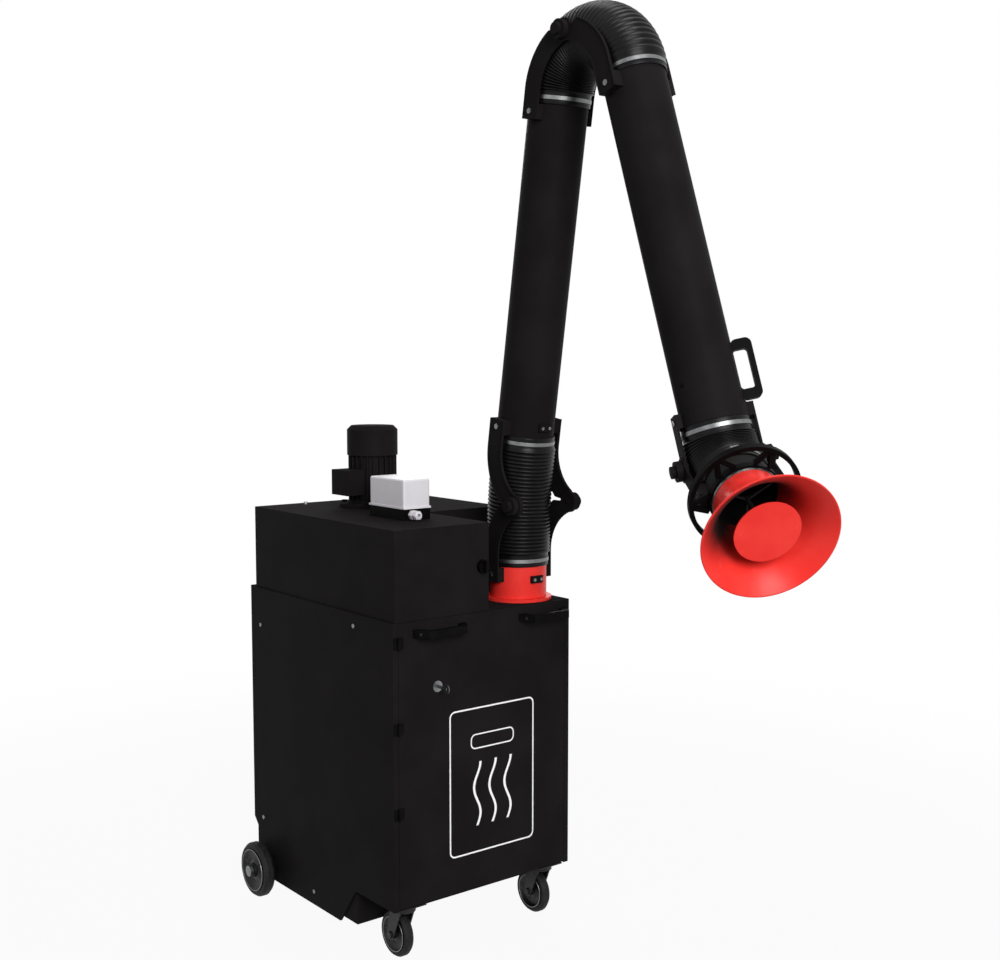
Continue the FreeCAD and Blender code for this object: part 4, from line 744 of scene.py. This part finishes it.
# Door film
def film_frame(name, left, right, low, high, line, corner):
    """White line frame with rounded corners, cut from film and laid on the door."""
    clear_selection()
    centre = ((left + right) / 2, DOOR_FRONT, (low + high) / 2)
    bpy.ops.mesh.primitive_plane_add(size=1, location=centre, rotation=(math.pi / 2, 0, 0))
    piece = named(name, film)
    piece.scale = (right - left, high - low, 1)
    settle(piece)
    edit(piece)
    bpy.ops.mesh.select_all(action="SELECT")
    bpy.ops.mesh.bevel(offset=corner, segments=6, affect="VERTICES")
    bpy.ops.mesh.select_all(action="SELECT")
    bpy.ops.mesh.inset(thickness=line)
    bpy.ops.mesh.delete(type="FACE")
    thicken_film(piece)


def film_wave(name, x, low, high, line, sway):
    """Rising wavy line of film."""
    clear_selection()
    bpy.ops.mesh.primitive_grid_add(
        x_subdivisions=1, y_subdivisions=48, size=1,
        location=(x, DOOR_FRONT, (low + high) / 2), rotation=(math.pi / 2, 0, 0))
    piece = named(name, film)
    piece.scale = (line, high - low, 1)
    settle(piece)
    for corner in piece.data.vertices:
        share = (corner.co.z - low) / (high - low)
        corner.co.x += sway * math.sin(share * WAVE_BENDS * math.pi)
    edit(piece)
    thicken_film(piece)


def thicken_film(piece):
    """Give a flat film its thickness, out from the door."""
    bpy.ops.mesh.select_all(action="SELECT")
    bpy.ops.mesh.extrude_region_move(TRANSFORM_OT_translate={"value": (0, -FILM, 0)})
    bpy.ops.mesh.select_all(action="SELECT")
    bpy.ops.mesh.normals_make_consistent(inside=False)
    bpy.ops.object.mode_set(mode="OBJECT")
    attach(piece, "door")


def door_film():
    film_frame("door_film_frame", left=-0.121, right=0.170, low=0.260, high=0.663,
               line=0.0042, corner=0.018)
    film_frame("door_film_hood", left=-0.050, right=0.099, low=0.548, high=0.590,
               line=0.0036, corner=0.016)
    for i, x in enumerate((-0.028, 0.0245, 0.077)):
        film_wave(f"door_film_wave_{i + 1}", x, low=0.335, high=0.512, line=0.0075, sway=0.011)


# Stage
def soft_lamp(name, place, aim, size, power):
    clear_selection()
    bpy.ops.object.light_add(type="AREA", location=place)
    lamp = bpy.context.object
    lamp.name = name
    lamp.data.size = size
    lamp.data.energy = power
    lamp.rotation_mode = "QUATERNION"
    lamp.rotation_quaternion = (Vector(aim) - Vector(place)).to_track_quat("-Z", "Y")


def studio():
    """Floor that shows white and still takes a faint shadow near the part, white sky, lamps."""
    clear_selection()
    bpy.ops.mesh.primitive_plane_add(size=60, location=(0, 0, 0))
    floor = bpy.context.object
    floor.name = "studio_floor"
    paint = Paint("studio_floor")
    paint.finish(FLOOR_GREY, 0.9, Specular_IOR_Level=0.0)
    white = paint.add("Emission", None, {"Color": WHITE, "Strength": 1.0})
    lit = Wire(paint, paint.shader.outputs[0])
    away = paint.vectors("LENGTH", paint.place, out="Value")
    share = paint.seen_directly() * (0.94 + away.above(1.2, 2.4) * 0.06)
    mixed = paint.add("MixShader", None, {0: share, 1: lit, 2: white})
    paint.feed(paint.tree.nodes["Material Output"].inputs["Surface"], mixed)
    floor.data.materials.append(paint.material)

    world = bpy.data.worlds.new("studio_world")
    bpy.context.scene.world = world
    world.use_nodes = True
    sky = Tree(world.node_tree)
    background = sky.tree.nodes["Background"].inputs
    background["Color"].default_value = WHITE
    sky.feed(background["Strength"], sky.seen_directly() * (1 - SKY_LIGHT) + SKY_LIGHT)

    for lamp in LAMPS:
        soft_lamp(*lamp)


def camera():
    clear_selection()
    bpy.ops.object.camera_add(location=CAMERA_PLACE)
    lens = bpy.context.object
    lens.name = "photo_camera"
    lens.rotation_euler = (math.radians(90 - CAMERA_DOWN), 0, math.radians(CAMERA_TURN))
    lens.data.sensor_width = CAMERA_SENSOR
    lens.data.lens = CAMERA_LENS
    bpy.context.scene.camera = lens


dress_nodes()
hoses()
hood_trim()
arm_trim()
wheel_trim()
handle_bolts()
housing_screws()
door_film()
studio()
camera()
bpy.context.scene.view_settings.view_transform = "Standard"
